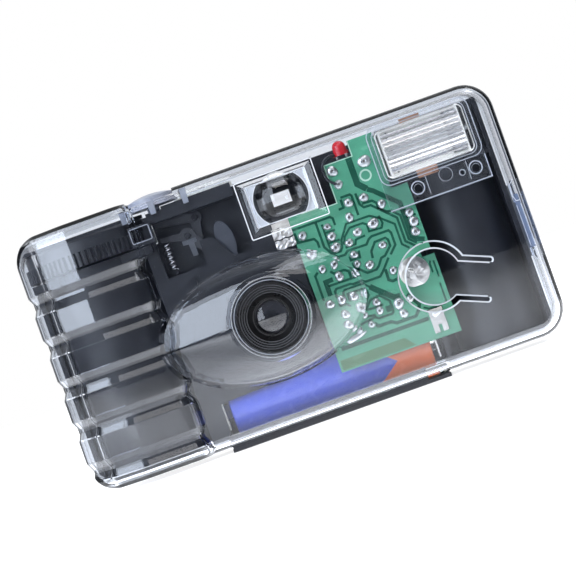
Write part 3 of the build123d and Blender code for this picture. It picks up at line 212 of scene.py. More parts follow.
REFLECTOR = moulded("bright_reflector", rgba(234, 232, 227), 0.3, grain=0.02, mottle=0.03)
COPPER = metal("copper_foil", rgba(226, 168, 130), 0.3, 0.3, 300)
TIN_CAN = moulded("cartridge_paint", rgba(96, 98, 104), 0.3)
FILM = moulded("film_base", rgba(96, 74, 62), 0.16, grain=0.0)
SLEEVE = moulded("capacitor_sleeve", rgba(38, 38, 54), 0.3)
WINDING = moulded("winding_tape", rgba(206, 178, 88), 0.4)
PART_BLACK = moulded("component_black", rgba(34, 34, 36), 0.3)
PART_BEIGE = moulded("component_beige", rgba(196, 158, 112), 0.28)
MASK = moulded("solder_mask", rgba(80, 150, 118), 0.2, grain=0.05, mottle=0.12)
MASK_DARK = moulded("mask_gap", rgba(12, 72, 52), 0.22, grain=0.05, mottle=0.12)
BOARD_EDGE = moulded("board_edge", rgba(176, 206, 184), 0.4, grain=0.1, mottle=0.1)
MASK_BARE = moulded("mask_bare", rgba(70, 112, 74), 0.24, grain=0.05, mottle=0.1)
# Painted shade: a darker metal for the cut ends of the leads, for the dark that they reflect.
LEAD_SHADE = metal("lead_end", rgba(112, 108, 104), 0.4)
FOIL = metal("crumpled_foil", rgba(206, 202, 196), 0.32, 0.4, 700)
WIRE_BLACK = moulded("wire_black", rgba(40, 42, 46), 0.3)
# Painted shade: a blacker plastic for the walls inside the finder tunnel.
TUNNEL_SHADE = moulded(
    "tunnel_painted_shade", rgba(8, 8, 10), 0.12, grain=0.02, mottle=0.1, specular=0.25,
)
# Painted highlights: a pale grey and a brighter grey for the light that the edges of the clear parts
# catch.
PALE_EDGE_HIGHLIGHT = moulded("painted_edge_highlight", rgba(206, 209, 214), 0.35, grain=0.1, mottle=0.06)
BRIGHT_EDGE_HIGHLIGHT = moulded("painted_bright_highlight", rgba(232, 234, 238), 0.2, grain=0.02, mottle=0.04)
CASE_TAB = milky("case_tab", rgba(160, 164, 174), 0.2, 0.35)
# Painted shade: a mid grey for the shaded end of the flash reflector.
REFLECTOR_SHADE = moulded("reflector_end", rgba(126, 129, 134), 0.35, grain=0.05, mottle=0.15)
DIAL_INK = moulded("dial_ink", rgba(40, 40, 44), 0.5, mottle=0.05)
# Painted reflection: a milky blue for the bluish window seen in the clear snap hook.
LATCH_BLUE_SHEEN = milky("case_latch_painted_sheen", rgba(150, 166, 196), 0.12, 0.6)
BRACKET_GREY = moulded("bracket_plastic", rgba(84, 86, 92), 0.4)
# Painted highlight: a grey for the light lines at the edges of the lens holder's steps.
RING_HIGHLIGHT = moulded("ring_edge", rgba(80, 81, 86), 0.3, grain=0.02, mottle=0.15)
LAMP_RED = tinted(
    "lamp_red", 300, rgba(184, 26, 38), rgba(220, 48, 56),
    roughness=0.12, clearness=0.3, ior=1.5,
)
TUBE_GLASS = tinted(
    "tube_glass", 200, rgba(226, 232, 236), rgba(240, 244, 246),
    roughness=0.08, clearness=0.6, ior=1.47,
)

BATTERY_AXIS_Z = 7.4
BATTERY_CAP_X = 26.75
BLUE_POINT_X = 18.2
BLUE_POINT_SLOPE = 1.3


def battery_print():
    """A plain two-colour sleeve: blue, with an orange end that the blue runs into as a point."""
    tree = material_tree("battery_sleeve")
    parts = tree.node("SeparateXYZ", {0: tree.position()})
    x, z = parts.outputs[0], parts.outputs[2]
    off_axis = tree.math("ABSOLUTE", tree.math("SUBTRACT", z, BATTERY_AXIS_Z * MM))
    edge = tree.math("SUBTRACT", BLUE_POINT_X * MM, tree.math("MULTIPLY", off_axis, BLUE_POINT_SLOPE))
    sleeve = tree.blend(tree.math("GREATER_THAN", x, edge), rgba(70, 92, 208), rgba(255, 120, 54))
    cap = tree.math("GREATER_THAN", x, BATTERY_CAP_X * MM)
    return tree.surface(tree.node("BsdfPrincipled", {
        "Base Color": tree.blend(cap, sleeve, rgba(214, 212, 206)),
        "Metallic": cap, "Roughness": tree.ramp(tree.noise(500), 0.3, 0.7, 0.2, 0.3),
    }))


def joined_plastic():
    """No look of its own, for faces inside plastic that is really in one."""
    tree = material_tree("joined_plastic")
    tint = tree.blend(tree.noise(50), (1, 1, 1, 1), (0.99, 0.99, 1, 1))
    return tree.surface(tree.node("BsdfTransparent", {"Color": tint}))


JOINED = joined_plastic()

NODE_MATERIALS = {
    "front_cover": CLEAR_CASE, "rear_cover": CLEAR_CASE, "flash_button": CLEAR_CASE,
    "shutter_button": CLEAR_BUTTON, "viewfinder_front": CLEAR_OPTIC, "viewfinder_eyepiece": CLEAR_OPTIC,
    "flash_lens": CLEAR_FLASH, "taking_lens": CLEAR_OPTIC,
    "battery_door": BLACK, "main_body": BLACK, "top_cover": BLACK, "film_back": BLACK,
    "lens_holder": BLACK_GLOSS, "lens_retainer": BLACK_GLOSS, "aperture_plate": STEEL_DARK,
    "release_lever": BLACK_LEVER, "shutter_lever": BLACK_LEVER, "wind_pawl": BLACK_LEVER,
    "shutter_blade": BLADE_GREY, "shutter_spring": SPRING,
    "thumbwheel": BLACK_WHEEL, "cartridge_spool": BLACK_LEVER, "supply_spool": BLACK_LEVER,
    "film_cartridge": TIN_CAN, "film_strip": FILM, "film_roll": FILM,
    "sprocket_wheel": BLACK_LEVER, "winding_cam": BLACK_LEVER, "counter_dial": WHITE_DIAL,
    "circuit_board": MASK, "solder_joints": TIN, "ready_lamp": LAMP_RED,
    "flash_reflector": REFLECTOR, "flash_tube": TUBE_GLASS, "trigger_foil": COPPER,
    "flash_capacitor": SLEEVE, "flash_transformer": WINDING, "trigger_coil": WINDING,
    "transistor": PART_BLACK, "diode": PART_BLACK,
    "resistors": PART_BEIGE, "small_capacitors": PART_BEIGE,
    "sync_contact": NICKEL, "flash_switch_contact": NICKEL, "battery": battery_print(),
    "battery_contact_positive": NICKEL, "battery_contact_negative": NICKEL,
}
for name, look in NODE_MATERIALS.items():
    NODES[name].data.materials.clear()
    NODES[name].data.materials.append(look)


# Faces of the CAD nodes with a second look

TONGUE_X, TONGUE_Z, TONGUE_FRONT_Y = (24, 48), (12.5, 31.5), -11.9
TONGUE_PIVOT = Vector((32.6, 0, 23.2))
TONGUE_TURN = math.radians(-22.5)
TONGUE_ROOT_AT, TONGUE_ROOT_HALF = 12.4, 4.05
TUNNEL_X, TUNNEL_Z, TUNNEL_FRONT_Y = (-1.1, 11.5), (48.6, 57.8), -7.3
TUNNEL_CENTRE = Vector((5.2, 0, 53.2))
PLATE_TOP_Z = 47
LAMP_LEGS_TOP_Z = 57.1


def second_look(node, look, test):
    """Gives the faces that pass the test, by centre in mm and by normal, a second material."""
    mesh = NODES[node].data
    mesh.materials.append(look)
    for face in mesh.polygons:
        if test(face.center / MM, face.normal):
            face.material_index = len(mesh.materials) - 1


def within(centre, x_range, z_range, front_y):
    in_x, in_z = x_range[0] < centre.x < x_range[1], z_range[0] < centre.z < z_range[1]
    return in_x and in_z and centre.y > front_y


def in_tongue(centre):
    return within(centre, TONGUE_X, TONGUE_Z, TONGUE_FRONT_Y)


def tongue_side(centre, normal):
    """The sides of the flexing tongue and of the slot round it, which get a pale painted highlight as a
    bright outline.
    """
    return in_tongue(centre) and abs(normal.y) < 0.9


def tongue_root(centre, normal):
    """The faces at the root of the flexing tongue, where the real one is in one with the cover."""
    offset = centre - TONGUE_PIVOT
    along = offset.dot(Vector((math.cos(TONGUE_TURN), 0, math.sin(TONGUE_TURN))))
    across = offset.dot(Vector((-math.sin(TONGUE_TURN), 0, math.cos(TONGUE_TURN))))
    at_root = along > TONGUE_ROOT_AT and abs(across) < TONGUE_ROOT_HALF
    return in_tongue(centre) and at_root and abs(normal.y) < 0.99


def in_tunnel(centre, normal):
    """The walls of the finder tunnel, seen from inside it, which get a blacker plastic as painted shade.
    """
    away = centre - TUNNEL_CENTRE
    faces_in = normal.dot(Vector((away.x, 0, away.z))) < -0.3
    return within(centre, TUNNEL_X, TUNNEL_Z, TUNNEL_FRONT_Y) and faces_in


for name in ("front_cover", "flash_button"):
    second_look(name, PALE_EDGE_HIGHLIGHT, tongue_side)
    second_look(name, JOINED, tongue_root)
# Painted highlight: the side walls of the flash lens in pale grey, for the light refracted in them.
second_look(
    "flash_lens", PALE_EDGE_HIGHLIGHT, lambda centre, normal: abs(normal.y) < 0.5 and centre.z < PLATE_TOP_Z,
)
second_look("ready_lamp", NICKEL, lambda centre, normal: centre.z < LAMP_LEGS_TOP_Z)
second_look("main_body", TUNNEL_SHADE, in_tunnel)


# Mesh helpers


def add_mesh(name, work, look, body="case", smooth=False):
    """Makes a piece of the work, with its faces turned outward."""
    bmesh.ops.recalc_face_normals(work, faces=work.faces)
    mesh = bpy.data.meshes.new(name)
    work.to_mesh(mesh)
    work.free()
    piece = bpy.data.objects.new(name, mesh)
    bpy.context.scene.collection.objects.link(piece)
    mesh.materials.append(look)
    for face in mesh.polygons:
        face.use_smooth = smooth
    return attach(piece, body)


def circle(x, z, radius, sides=28):
    turns = [2 * math.pi * side / sides for side in range(sides)]
    return [(x + radius * math.cos(turn), z + radius * math.sin(turn)) for turn in turns]


def rounded(left, right, bottom, top, radius, steps=5):
    """The outline of a rectangle with rounded corners, anticlockwise in X and Z."""
    corners = ((right, top, 0), (left, top, 90), (left, bottom, 180), (right, bottom, 270))
    points = []
    for x, z, start in corners:
        cx = x - math.copysign(radius, x - (left + right) / 2)
        cz = z - math.copysign(radius, z - (bottom + top) / 2)
        for step in range(steps + 1):
            turn = math.radians(start + 90 * step / steps)
            points.append((cx + radius * math.cos(turn), cz + radius * math.sin(turn)))
    return points


def stitch(work, first, second):
    """Faces between two rings of vertices."""
    count = len(first)
    for a in range(count):
        b = (a + 1) % count
        work.faces.new((first[a], first[b], second[b], second[a]))


def skin(work, rings):
    """Faces along a row of rings, and one over each end."""
    for first, second in zip(rings, rings[1:]):
        stitch(work, first, second)
    work.faces.new(rings[0][::-1])
    work.faces.new(rings[-1])


def ribbon(work, points, width, depth, closed=False):
    """A flat strip along points in X and Z, with mitred corners. Depth is its front and back Y."""
    front, back = depth
    count = len(points)
    rings = []
    for index, point in enumerate(points):
        here = Vector(point)
        before = (here - Vector(points[index - 1])).normalized() if index or closed else None
        more = index < count - 1 or closed
        after = (Vector(points[(index + 1) % count]) - here).normalized() if more else None
        before = before or after
        after = after or before
        across = Vector((-(before + after).y, (before + after).x)).normalized()
        reach = width / 2 / max(0.5, across.dot(Vector((-after.y, after.x))))
        left, right = here + across * reach, here - across * reach
        rings.append([
            work.verts.new((side.x * MM, y * MM, side.y * MM)) for side, y in
            ((left, back), (left, front), (right, front), (right, back))
        ])
    for first, second in zip(rings, rings[1:] + rings[:1] if closed else rings[1:]):
        stitch(work, first, second)
    if not closed:
        work.faces.new(rings[0])
        work.faces.new(rings[-1][::-1])


def plate(work, outline, depth):
    """A flat plate with the given outline in X and Z. Depth is its front and back Y."""
    near, far = [[work.verts.new((x * MM, y * MM, z * MM)) for x, z in outline] for y in depth]
    work.faces.new(near)
    work.faces.new(far[::-1])
    stitch(work, near, far)


def box_outline(left, right, bottom, top):
    return [(left, bottom), (right, bottom), (right, top), (left, top)]


def ribbon_piece(name, look, rows):
    """One piece of ribbons, each row being its points, width, depth and, if closed, True."""
    work = bmesh.new()
    for row in rows:
        ribbon(work, *row)
    add_mesh(name, work, look)


def plate_piece(name, look, rows, body="case"):
    """One piece of plates, each row being its outline and depth."""
    work = bmesh.new()
    for outline, depth in rows:
        plate(work, outline, depth)
    add_mesh(name, work, look, body)


# Viewfinder: painted highlights on the edges of the block and its hollow lens, and a pale plate beside the
# lens that paints the block's bright look

BLOCK_BOX = (-4.2, 14.7, 45.15, 58.85)
BLOCK_DEPTH = (-12.33, -12.1)
WINDOW_LEFT, WINDOW_RIGHT, WINDOW_BOTTOM, WINDOW_TOP = -2.35, 12.9, 47.25, 57.75
WINDOW_DEPTH = (-9.9, -9.5)
HIGHLIGHT_PLATE_DEPTH = (-9.29, -9.2)
HOLLOW_X, HOLLOW_Z, HOLLOW_RADIUS, HOLLOW_STEPS = 5.25, 52.4, 6.6, 16
WELD, EDGE_SLACK = 1e-7, 1e-6


def hollow_rim(side):
    """The left (-1) or right (1) edge of the hollow lens, between the window's bottom and top."""
    rim = []
    for step in range(HOLLOW_STEPS + 1):
        z = WINDOW_BOTTOM + (WINDOW_TOP - WINDOW_BOTTOM) * step / HOLLOW_STEPS
        rim.append((HOLLOW_X + side * math.sqrt(HOLLOW_RADIUS ** 2 - (z - HOLLOW_Z) ** 2), z))
    return rim


def finder_mask():
    """A pale plate on both sides of the hollow lens, a painted highlight for the bright look of the clear
    block, in strips that are welded into two plates.
    """
    work = bmesh.new()
    for side, edge_x in ((-1, WINDOW_LEFT), (1, WINDOW_RIGHT)):
        rim = hollow_rim(side)
        for low_point, high_point in zip(rim, rim[1:]):
            strip = [(edge_x, low_point[1]), low_point, high_point, (edge_x, high_point[1])]
            plate(work, strip, HIGHLIGHT_PLATE_DEPTH)
    bmesh.ops.remove_doubles(work, verts=work.verts, dist=WELD)
    low, high = WINDOW_BOTTOM * MM + EDGE_SLACK, WINDOW_TOP * MM - EDGE_SLACK
    seams = [
        face for face in work.faces
        if abs(face.normal.z) > 0.99 and low < face.calc_center_median().z < high
    ]
    bmesh.ops.delete(work, geom=seams, context="FACES_ONLY")
    bmesh.ops.remove_doubles(work, verts=work.verts, dist=WELD)
    return work


window_outline = rounded(WINDOW_LEFT, WINDOW_RIGHT, WINDOW_BOTTOM, WINDOW_TOP, 0.4, 2)
ribbon_piece("finder_highlights", BRIGHT_EDGE_HIGHLIGHT, [
    (rounded(*BLOCK_BOX, 0.3, 2), 0.24, BLOCK_DEPTH, True),
    (window_outline, 0.2, WINDOW_DEPTH, True),
    (hollow_rim(-1), 0.2, WINDOW_DEPTH),
    (hollow_rim(1), 0.2, WINDOW_DEPTH),
])
add_mesh("finder_mask", finder_mask(), PALE_EDGE_HIGHLIGHT)


# Body: a painted highlight on the edge of the square window beside the thumb wheel

SHIELD_WINDOW = (-30.6, -26.1, 53.6, 57.1)
ribbon_piece("shield_window_highlight", SHIELD_HIGHLIGHT, [
    (rounded(*SHIELD_WINDOW, 0.3, 2), 0.2, (-9.99, -9.9), True),
])


# Lens: painted highlights on the edges of the case's bore and of the steps in the lens holder

LENS_X, LENS_Z = -6.0, 27.0
LENS_SIDES = 64
STEP_START, STEP_DEPTH, STEP_SHRINK, STEP_MOUTH, STEP_COUNT = -17.5, 0.75, 0.55, 7.85, 4
STEP_LINE_WIDTH, STEP_LINE_SHIFT = 0.13, 0.08


def lens_circle(radius):
    return circle(LENS_X, LENS_Z, radius, LENS_SIDES)


def step_edge(step):
    """A row for ribbon_piece: the painted highlight on the edge of one step."""
    radius = STEP_MOUTH - step * STEP_SHRINK + STEP_LINE_SHIFT
    ledge = STEP_START + step * STEP_DEPTH
    return lens_circle(radius), STEP_LINE_WIDTH, (ledge - 0.04, ledge + 0.02), True


ribbon_piece("lens_bore_highlights", PALE_EDGE_HIGHLIGHT, [
    (lens_circle(8.6), 0.15, (-18.0, -17.93), True),
    (lens_circle(9.3), 0.1, (-17.75, -17.6), True),
])
ribbon_piece("lens_ring_highlights", RING_HIGHLIGHT, [
    step_edge(step) for step in range(1, STEP_COUNT + 1)
])


# Case: three tabs that hang inside the top wall

TAB_TOP_Z = 62.0
TAB_DEPTH = (-10.1, -9.3)
TAB_TAPER = 0.8


def tab_outline(x, low_z, half):
    foot = TAB_TAPER * half
    return [(x - foot, low_z), (x + foot, low_z), (x + half, TAB_TOP_Z), (x - half, TAB_TOP_Z)]


plate_piece("case_tabs", CASE_TAB, [
    (tab_outline(x, low_z, half), TAB_DEPTH)
    for x, low_z, half in ((-30.9, 58.7, 0.85), (-23.9, 58.8, 0.8), (-15.9, 58.7, 0.8))
])


# Flash: painted highlights on the edges of the lens, of its mounting plate and of the plate's holes and
# ribs

FLASH_LENS_OUTER = (28.5, 53.35, 46.5, 60.6)
FLASH_LENS_INNER = (29.6, 52.3, 47.3, 59.8)
FLASH_LENS_DEPTH = (-10.05, -9.6)
FLASH_PLATE_DEPTH = (-10.0, -9.6)
PLATE_RIGHT_X, PLATE_BOTTOM_Z, PLATE_RIB_TOP_Z = 53.3, 40.75, 46.2
PLATE_CORNER = [
    (28.4, PLATE_BOTTOM_Z), (PLATE_RIGHT_X, PLATE_BOTTOM_Z), (PLATE_RIGHT_X, PLATE_RIB_TOP_Z),
]
RIB_XS, RIB_LOW_Z = (38.5, 48.5), 41.7
BOSS_XS, BOSS_Z = (36.1, 50.3), 43.9

flash_highlights = [
    (rounded(*FLASH_LENS_OUTER, 2.3), 0.2, FLASH_LENS_DEPTH, True),
    (rounded(*FLASH_LENS_INNER, 1.8), 0.16, FLASH_LENS_DEPTH, True),
    (PLATE_CORNER, 0.24, FLASH_PLATE_DEPTH),
]
for x in RIB_XS:
    flash_highlights.append(([(x, RIB_LOW_Z), (x, PLATE_RIB_TOP_Z)], 0.14, FLASH_PLATE_DEPTH))
for x in BOSS_XS:
    flash_highlights.append((circle(x, BOSS_Z, 1.5), 0.26, FLASH_PLATE_DEPTH, True))
    flash_highlights.append((circle(x, BOSS_Z, 0.85, 20), 0.18, FLASH_PLATE_DEPTH, True))
flash_highlights.append((circle(43.2, 44.7, 1.6), 0.1, FLASH_PLATE_DEPTH, True))
flash_highlights.append((circle(47.0, 43.8, 0.7, 20), 0.16, FLASH_PLATE_DEPTH, True))
ribbon_piece("flash_plate_highlights", PALE_EDGE_HIGHLIGHT, flash_highlights)


# Case: a snap hook inside the right wall, tinted milky blue as a painted reflection of the window, with
# painted highlights on its edges

HOOK_WALL_X = 57.72
HOOK_EDGE_DEPTH = (-8.62, -8.38)
plate_piece("snap_hook", LATCH_BLUE_SHEEN, [
    (box_outline(56.35, HOOK_WALL_X, 22.0, 33.2), (-8.4, -4.0)),
    ([(56.15, 33.4), (HOOK_WALL_X, 33.4), (HOOK_WALL_X, 35.0), (56.7, 35.0)], (-8.3, -6.0)),
])
hook_lines = (
    [(57.5, 38.4), (56.4, 37.4), (56.25, 34.6), (56.7, 33.4), (57.65, 33.4)],
    [(56.4, 32.4), (56.4, 22.4)],
    [(57.6, 32.4), (57.6, 22.4)],
    [(57.6, 21.6), (56.6, 21.3), (56.3, 20.2), (56.9, 18.9)],
)
ribbon_piece("snap_hook_highlights", PALE_EDGE_HIGHLIGHT, [
    (line, 0.16, HOOK_EDGE_DEPTH) for line in hook_lines
])


# Shutter: the T-shaped tab on the lever's hub

LEVER_TAB = [
    (-20.2, 50.7), (-20.2, 49.7), (-18.9, 49.6), (-18.7, 46.6),
    (-17.5, 46.6), (-17.5, 49.6), (-16.8, 49.7), (-16.8, 50.7),
]
plate_piece(
    "lever_tab", BRACKET_GREY, [(LEVER_TAB, (-4.05, -3.78))], body="striker",
)


# Flash: painted shade seen through the ribs of the lens, as dark lines at the ends of the reflector and a
# grey plate for its shaded end

REFLECTOR_LOW, REFLECTOR_HIGH = 48.7, 58.5
REFLECTOR_DEPTH = (-9.2, -9.08)
for name, look, spans in (
    ("reflector_shade_lines", PART_BLACK, ((32.9, 33.35), (46.75, 47.4))),
    ("reflector_shade_ends", REFLECTOR_SHADE, ((47.4, 50.1),)),
):
    plate_piece(name, look, [
        (box_outline(left, right, REFLECTOR_LOW, REFLECTOR_HIGH), REFLECTOR_DEPTH) for left, right in spans
    ])


# Counter dial: a tick for each picture, and plain numbers

DIAL_CENTRE = Vector((-12.0, 7.0))
DIAL_TOP, DIAL_TICKS, TICKS_PER_NUMBER = 61.0, 30, 5
TICK_START, TICK_START_LONG, TICK_END = 5.2, 4.9, 5.9
NUMBER_RADIUS, DIGIT_SIZE, DIGIT_PITCH, DIGIT_HALF = 2.9, 0.85, 1.3, 0.42
INK_WIDTH, INK_DEPTH = 0.2, (DIAL_TOP - 0.02, DIAL_TOP + 0.03)
DIGITS = {
    "0": [(0, 0), (1, 0), (1, 1.8), (0, 1.8), (0, 0)],
    "1": [(0.5, 0), (0.5, 1.8), (0.2, 1.5)],
    "2": [(0, 1.8), (1, 1.8), (1, 0.9), (0, 0.9), (0, 0), (1, 0)],
    "5": [(1, 1.8), (0, 1.8), (0, 0.9), (1, 0.9), (1, 0), (0, 0)],
}


def digit_stroke(digit, shift, outward, sideways):
    start = DIAL_CENTRE + outward * NUMBER_RADIUS
    return [
        tuple(start - sideways * (shift + DIGIT_SIZE * u) + outward * DIGIT_SIZE * v)
        for u, v in DIGITS[digit]
    ]


def counter_numbers():
    """The ticks and numbers, drawn upright in X and Z and then laid flat on the dial."""
    work = bmesh.new()
    for tick in range(DIAL_TICKS):
        turn = 2 * math.pi * tick / DIAL_TICKS
        outward = Vector((math.cos(turn), math.sin(turn)))
        sideways = Vector((-outward.y, outward.x))
        numbered = tick % TICKS_PER_NUMBER == 0
        inner = TICK_START_LONG if numbered else TICK_START
        ends = [tuple(DIAL_CENTRE + outward * reach) for reach in (inner, TICK_END)]
        ribbon(work, ends, INK_WIDTH, INK_DEPTH)
        if numbered:
            number = str(tick)
            for place, digit in enumerate(number):
                shift = DIGIT_PITCH * (place - (len(number) - 1) / 2) - DIGIT_HALF
                ribbon(work, digit_stroke(digit, shift, outward, sideways), INK_WIDTH, INK_DEPTH)
    for vertex in work.verts:
        vertex.co = Vector((vertex.co.x, vertex.co.z, vertex.co.y))
    return work


add_mesh("counter_numbers", counter_numbers(), DIAL_INK, body="counter")


# Circuit board: the dark gaps between its copper areas, each a width and its points in X and Z

BOARD_FRONT = -8.6
GAP_WIDENING = 1.15
GAPS = [
    (0.5, [(5.2, 44.4), (10.6, 44.4), (10.9, 44.0), (10.9, 38.2), (12.4, 35.6), (13.2, 35.0),
           (14.9, 34.9), (15.7, 35.6), (20.4, 35.5), (21.3, 36.5), (22.1, 36.9), (26.3, 36.9),
           (26.7, 36.2), (26.7, 33.2), (24.9, 31.4)]),
    (0.5, [(10.9, 44.4), (14.5, 44.4), (15.0, 43.9), (15.0, 42.2)]),
    (0.5, [(5.4, 43.6), (5.5, 41.2), (9.3, 40.8), (9.8, 39.9), (9.8, 38.4)]),
    (0.45, [(12.1, 43.4), (12.1, 37.2), (12.8, 36.0), (14.2, 36.0), (14.9, 36.8), (15.2, 38.4),
            (17.5, 41.6), (23.2, 41.6), (25.6, 40.1), (28.2, 37.8), (28.2, 32.8), (29.6, 31.4)]),
    (0.45, [(12.3, 41.2), (14.6, 41.2)]),
    (0.45, [(12.3, 38.7), (14.9, 38.7)]),
    (0.45, [(15.4, 37.2), (16.2, 38.9), (18.0, 40.5), (21.2, 40.5), (22.0, 39.9), (22.0, 38.2),
            (25.0, 38.0), (25.6, 39.0), (25.3, 40.9)]),
    (0.45, [(15.5, 36.4), (18.0, 36.4), (18.4, 37.4), (20.8, 37.6)]),
    (0.5, [(18.3, 47.8), (20.6, 47.8), (20.9, 47.4), (20.9, 42.6)]),
    (0.5, [(18.2, 47.4), (18.2, 45.4), (17.0, 45.3)]),
    (0.5, [(21.9, 47.6), (22.0, 44.9), (22.7, 43.9), (24.4, 43.8), (29.2, 39.0), (29.2, 33.2),
           (31.0, 31.5)]),
    (0.5, [(22.6, 44.8), (25.0, 44.7), (25.8, 43.9), (25.8, 42.6), (27.4, 41.2), (28.4, 41.0),
           (30.1, 39.3), (30.1, 33.4), (31.6, 32.0)]),
    (1.0, [(24.8, 47.6), (26.0, 46.8), (31.0, 42.0), (31.0, 33.8), (32.0, 32.8), (33.6, 32.2)]),
    (0.45, [(31.2, 38.4), (33.6, 38.4)]),
    (0.45, [(31.2, 35.9), (33.6, 35.9)]),
    (0.5, [(20.7, 32.0), (20.9, 33.6), (22.4, 35.4), (25.0, 35.5), (25.5, 34.9), (25.5, 33.4),
           (23.6, 31.6), (22.6, 31.4), (21.4, 29.8), (20.6, 29.2), (18.4, 29.2), (17.6, 29.9),
           (16.6, 30.9)]),
    (0.45, [(15.7, 34.2), (15.7, 33.2), (18.0, 33.2), (18.2, 34.8)]),
    (0.45, [(15.9, 32.6), (15.9, 31.2), (17.0, 30.4)]),
    (0.5, [(6.6, 26.4), (6.6, 32.6), (7.4, 33.2)]),
    (1.0, [(8.4, 27.0), (8.4, 30.4), (10.2, 30.5)]),
    (0.5, [(10.2, 32.4), (10.9, 31.6), (13.2, 31.6), (14.2, 31.0), (14.2, 29.4)]),
    (0.5, [(8.6, 29.3), (14.2, 29.2), (16.8, 29.1)]),
    (0.5, [(9.7, 26.0), (9.7, 27.6), (10.2, 28.1), (13.6, 28.1), (14.2, 27.8), (16.6, 27.9),
           (17.2, 27.4), (20.9, 27.4), (22.0, 28.4), (24.2, 30.9)]),
    (0.45, [(11.4, 24.8), (11.4, 26.7), (11.9, 27.2), (16.5, 27.2), (17.8, 25.9)]),
    (0.45, [(12.2, 24.3), (12.2, 26.1), (16.2, 26.1), (16.9, 25.2), (16.9, 24.2), (15.5, 22.3),
            (14.9, 21.2)]),
    (0.45, [(9.6, 24.6), (9.8, 24.0), (11.2, 24.0), (12.0, 23.2)]),
    (1.2, [(17.8, 26.0), (19.0, 24.8), (22.4, 21.7), (23.8, 21.6)]),
    (0.5, [(15.4, 21.4), (16.9, 23.0), (19.2, 23.3), (21.1, 21.3), (21.1, 18.7), (20.7, 18.3),
           (17.4, 18.3), (16.6, 18.9), (13.4, 18.4), (12.8, 18.2)]),
    (0.5, [(15.2, 21.2), (16.2, 21.0), (19.4, 21.0)]),
    (0.5, [(14.8, 19.6), (16.9, 19.3)]),
    (1.0, [(20.2, 18.9), (20.2, 20.4)]),
    (0.7, [(16.0, 17.6), (16.7, 16.6), (19.8, 16.6), (20.9, 15.9), (25.6, 15.9), (26.8, 17.1),
           (27.3, 18.2), (25.4, 21.4)]),
    (0.8, [(7.1, 15.6), (7.2, 14.4), (28.3, 14.4)]),
    (0.6, [(22.6, 28.6), (22.5, 26.0), (23.3, 25.4), (25.0, 25.6)]),
    (0.4, [(33.8, 26.8), (33.8, 22.8)]),
    (0.4, [(32.8, 24.2), (32.8, 26.4), (33.1, 27.0)]),
    (0.4, [(33.5, 21.4), (33.5, 17.0), (33.0, 16.5), (29.2, 16.5), (28.0, 17.2)]),
    (1.3, [(23.1, 56.0), (23.1, 49.5), (24.8, 47.7)]),
]


def on_board(height):
    """The depth of a thin layer that stands out of the board by the height."""
    return BOARD_FRONT - height, BOARD_FRONT + 0.01


ribbon_piece("board_gaps", MASK_DARK, [
    (line, GAP_WIDENING * width, on_board(0.03)) for width, line in GAPS
])

# The board's pale cut edge round the ready lamp, a pad left without solder, and a bare strip
CUT_EDGE = [(5.3, 46.85), (17.15, 46.85), (17.15, 56.05), (24.15, 56.05), (24.15, 59.7)]
BARE_STRIP = [(5.5, 9.6), (23.6, 9.6), (21.4, 12.0), (5.5, 12.0)]
ribbon_piece("board_edges", BOARD_EDGE, [
    (CUT_EDGE, 0.22, on_board(0.03)),
    (circle(25.6, 50.8, 1.25, 24), 0.4, on_board(0.06), True),
])
plate_piece("board_bare_strip", MASK_BARE, [(BARE_STRIP, on_board(0.02))])


# Solder: a bead and the end of a lead for each joint of the CAD node, and a few flat lumps; the lead ends
# are in a darker metal, as a painted reflection of the dark

SOLDER_SEED = 7
BEAD_SIDES, LEAD_SIDES, LUMP_SIDES = 20, 12, 18
BEAD_WIDENING, BEAD_WOBBLE, BEAD_JITTER = 1.1, 0.07, 0.06
TIP_JITTER, TIP_RISE = 0.12, 0.15
# Each point of a bead's outline is a share of its radius and a height over the board
BEAD_OUTLINE = [
    (1.0, 0.0), (0.98, 0.1), (0.9, 0.26), (0.74, 0.44), (0.52, 0.56), (0.34, 0.6), (0.24, 0.52),
]
LEAD_OUTLINE = [(0.3, BOARD_FRONT - 0.4), (0.3, BOARD_FRONT - 0.66), (0.22, BOARD_FRONT - 0.72)]
# Each point of a lump's outline is a share of its half length and width, and a share of its height
LUMP_OUTLINE = [(1.0, 0.0), (0.93, 0.4), (0.72, 0.8), (0.4, 1.0)]
CONTACT_FRONT = -8.88
# Each lump is the Y that it sits on, its X and Z, its half length and width, its height and its turn
LUMPS = [
    (BOARD_FRONT, 10.8, 15.9, 2.7, 0.75, 0.5, 0.18),
    (BOARD_FRONT, 12.1, 16.9, 1.1, 0.7, 0.4, 0.9),
    (BOARD_FRONT, 25.8, 20.2, 0.8, 0.9, 0.45, 0.0),
    (CONTACT_FRONT, 30.4, 15.0, 1.3, 0.7, 0.3, 0.3),
]


def islands(node):
    """The separate solids in a CAD node, each as its lowest and highest corner in mm."""
    work = bmesh.new()
    work.from_mesh(NODES[node].data)
    bmesh.ops.remove_doubles(work, verts=work.verts, dist=1e-6)
    left = set(work.verts)
    found = []
    while left:
        todo = [left.pop()]
        group = []
        while todo:
            vertex = todo.pop()
            group.append(vertex.co / MM)
            for edge in vertex.link_edges:
                other = edge.other_vert(vertex)
                if other in left:
                    left.remove(other)
                    todo.append(other)
        low = Vector([min(p[i] for p in group) for i in range(3)])
        high = Vector([max(p[i] for p in group) for i in range(3)])
        found.append((low, high))
    work.free()
    found.sort(key=lambda item: (round(item[0].z, 2), round(item[0].x, 2)))
    return found


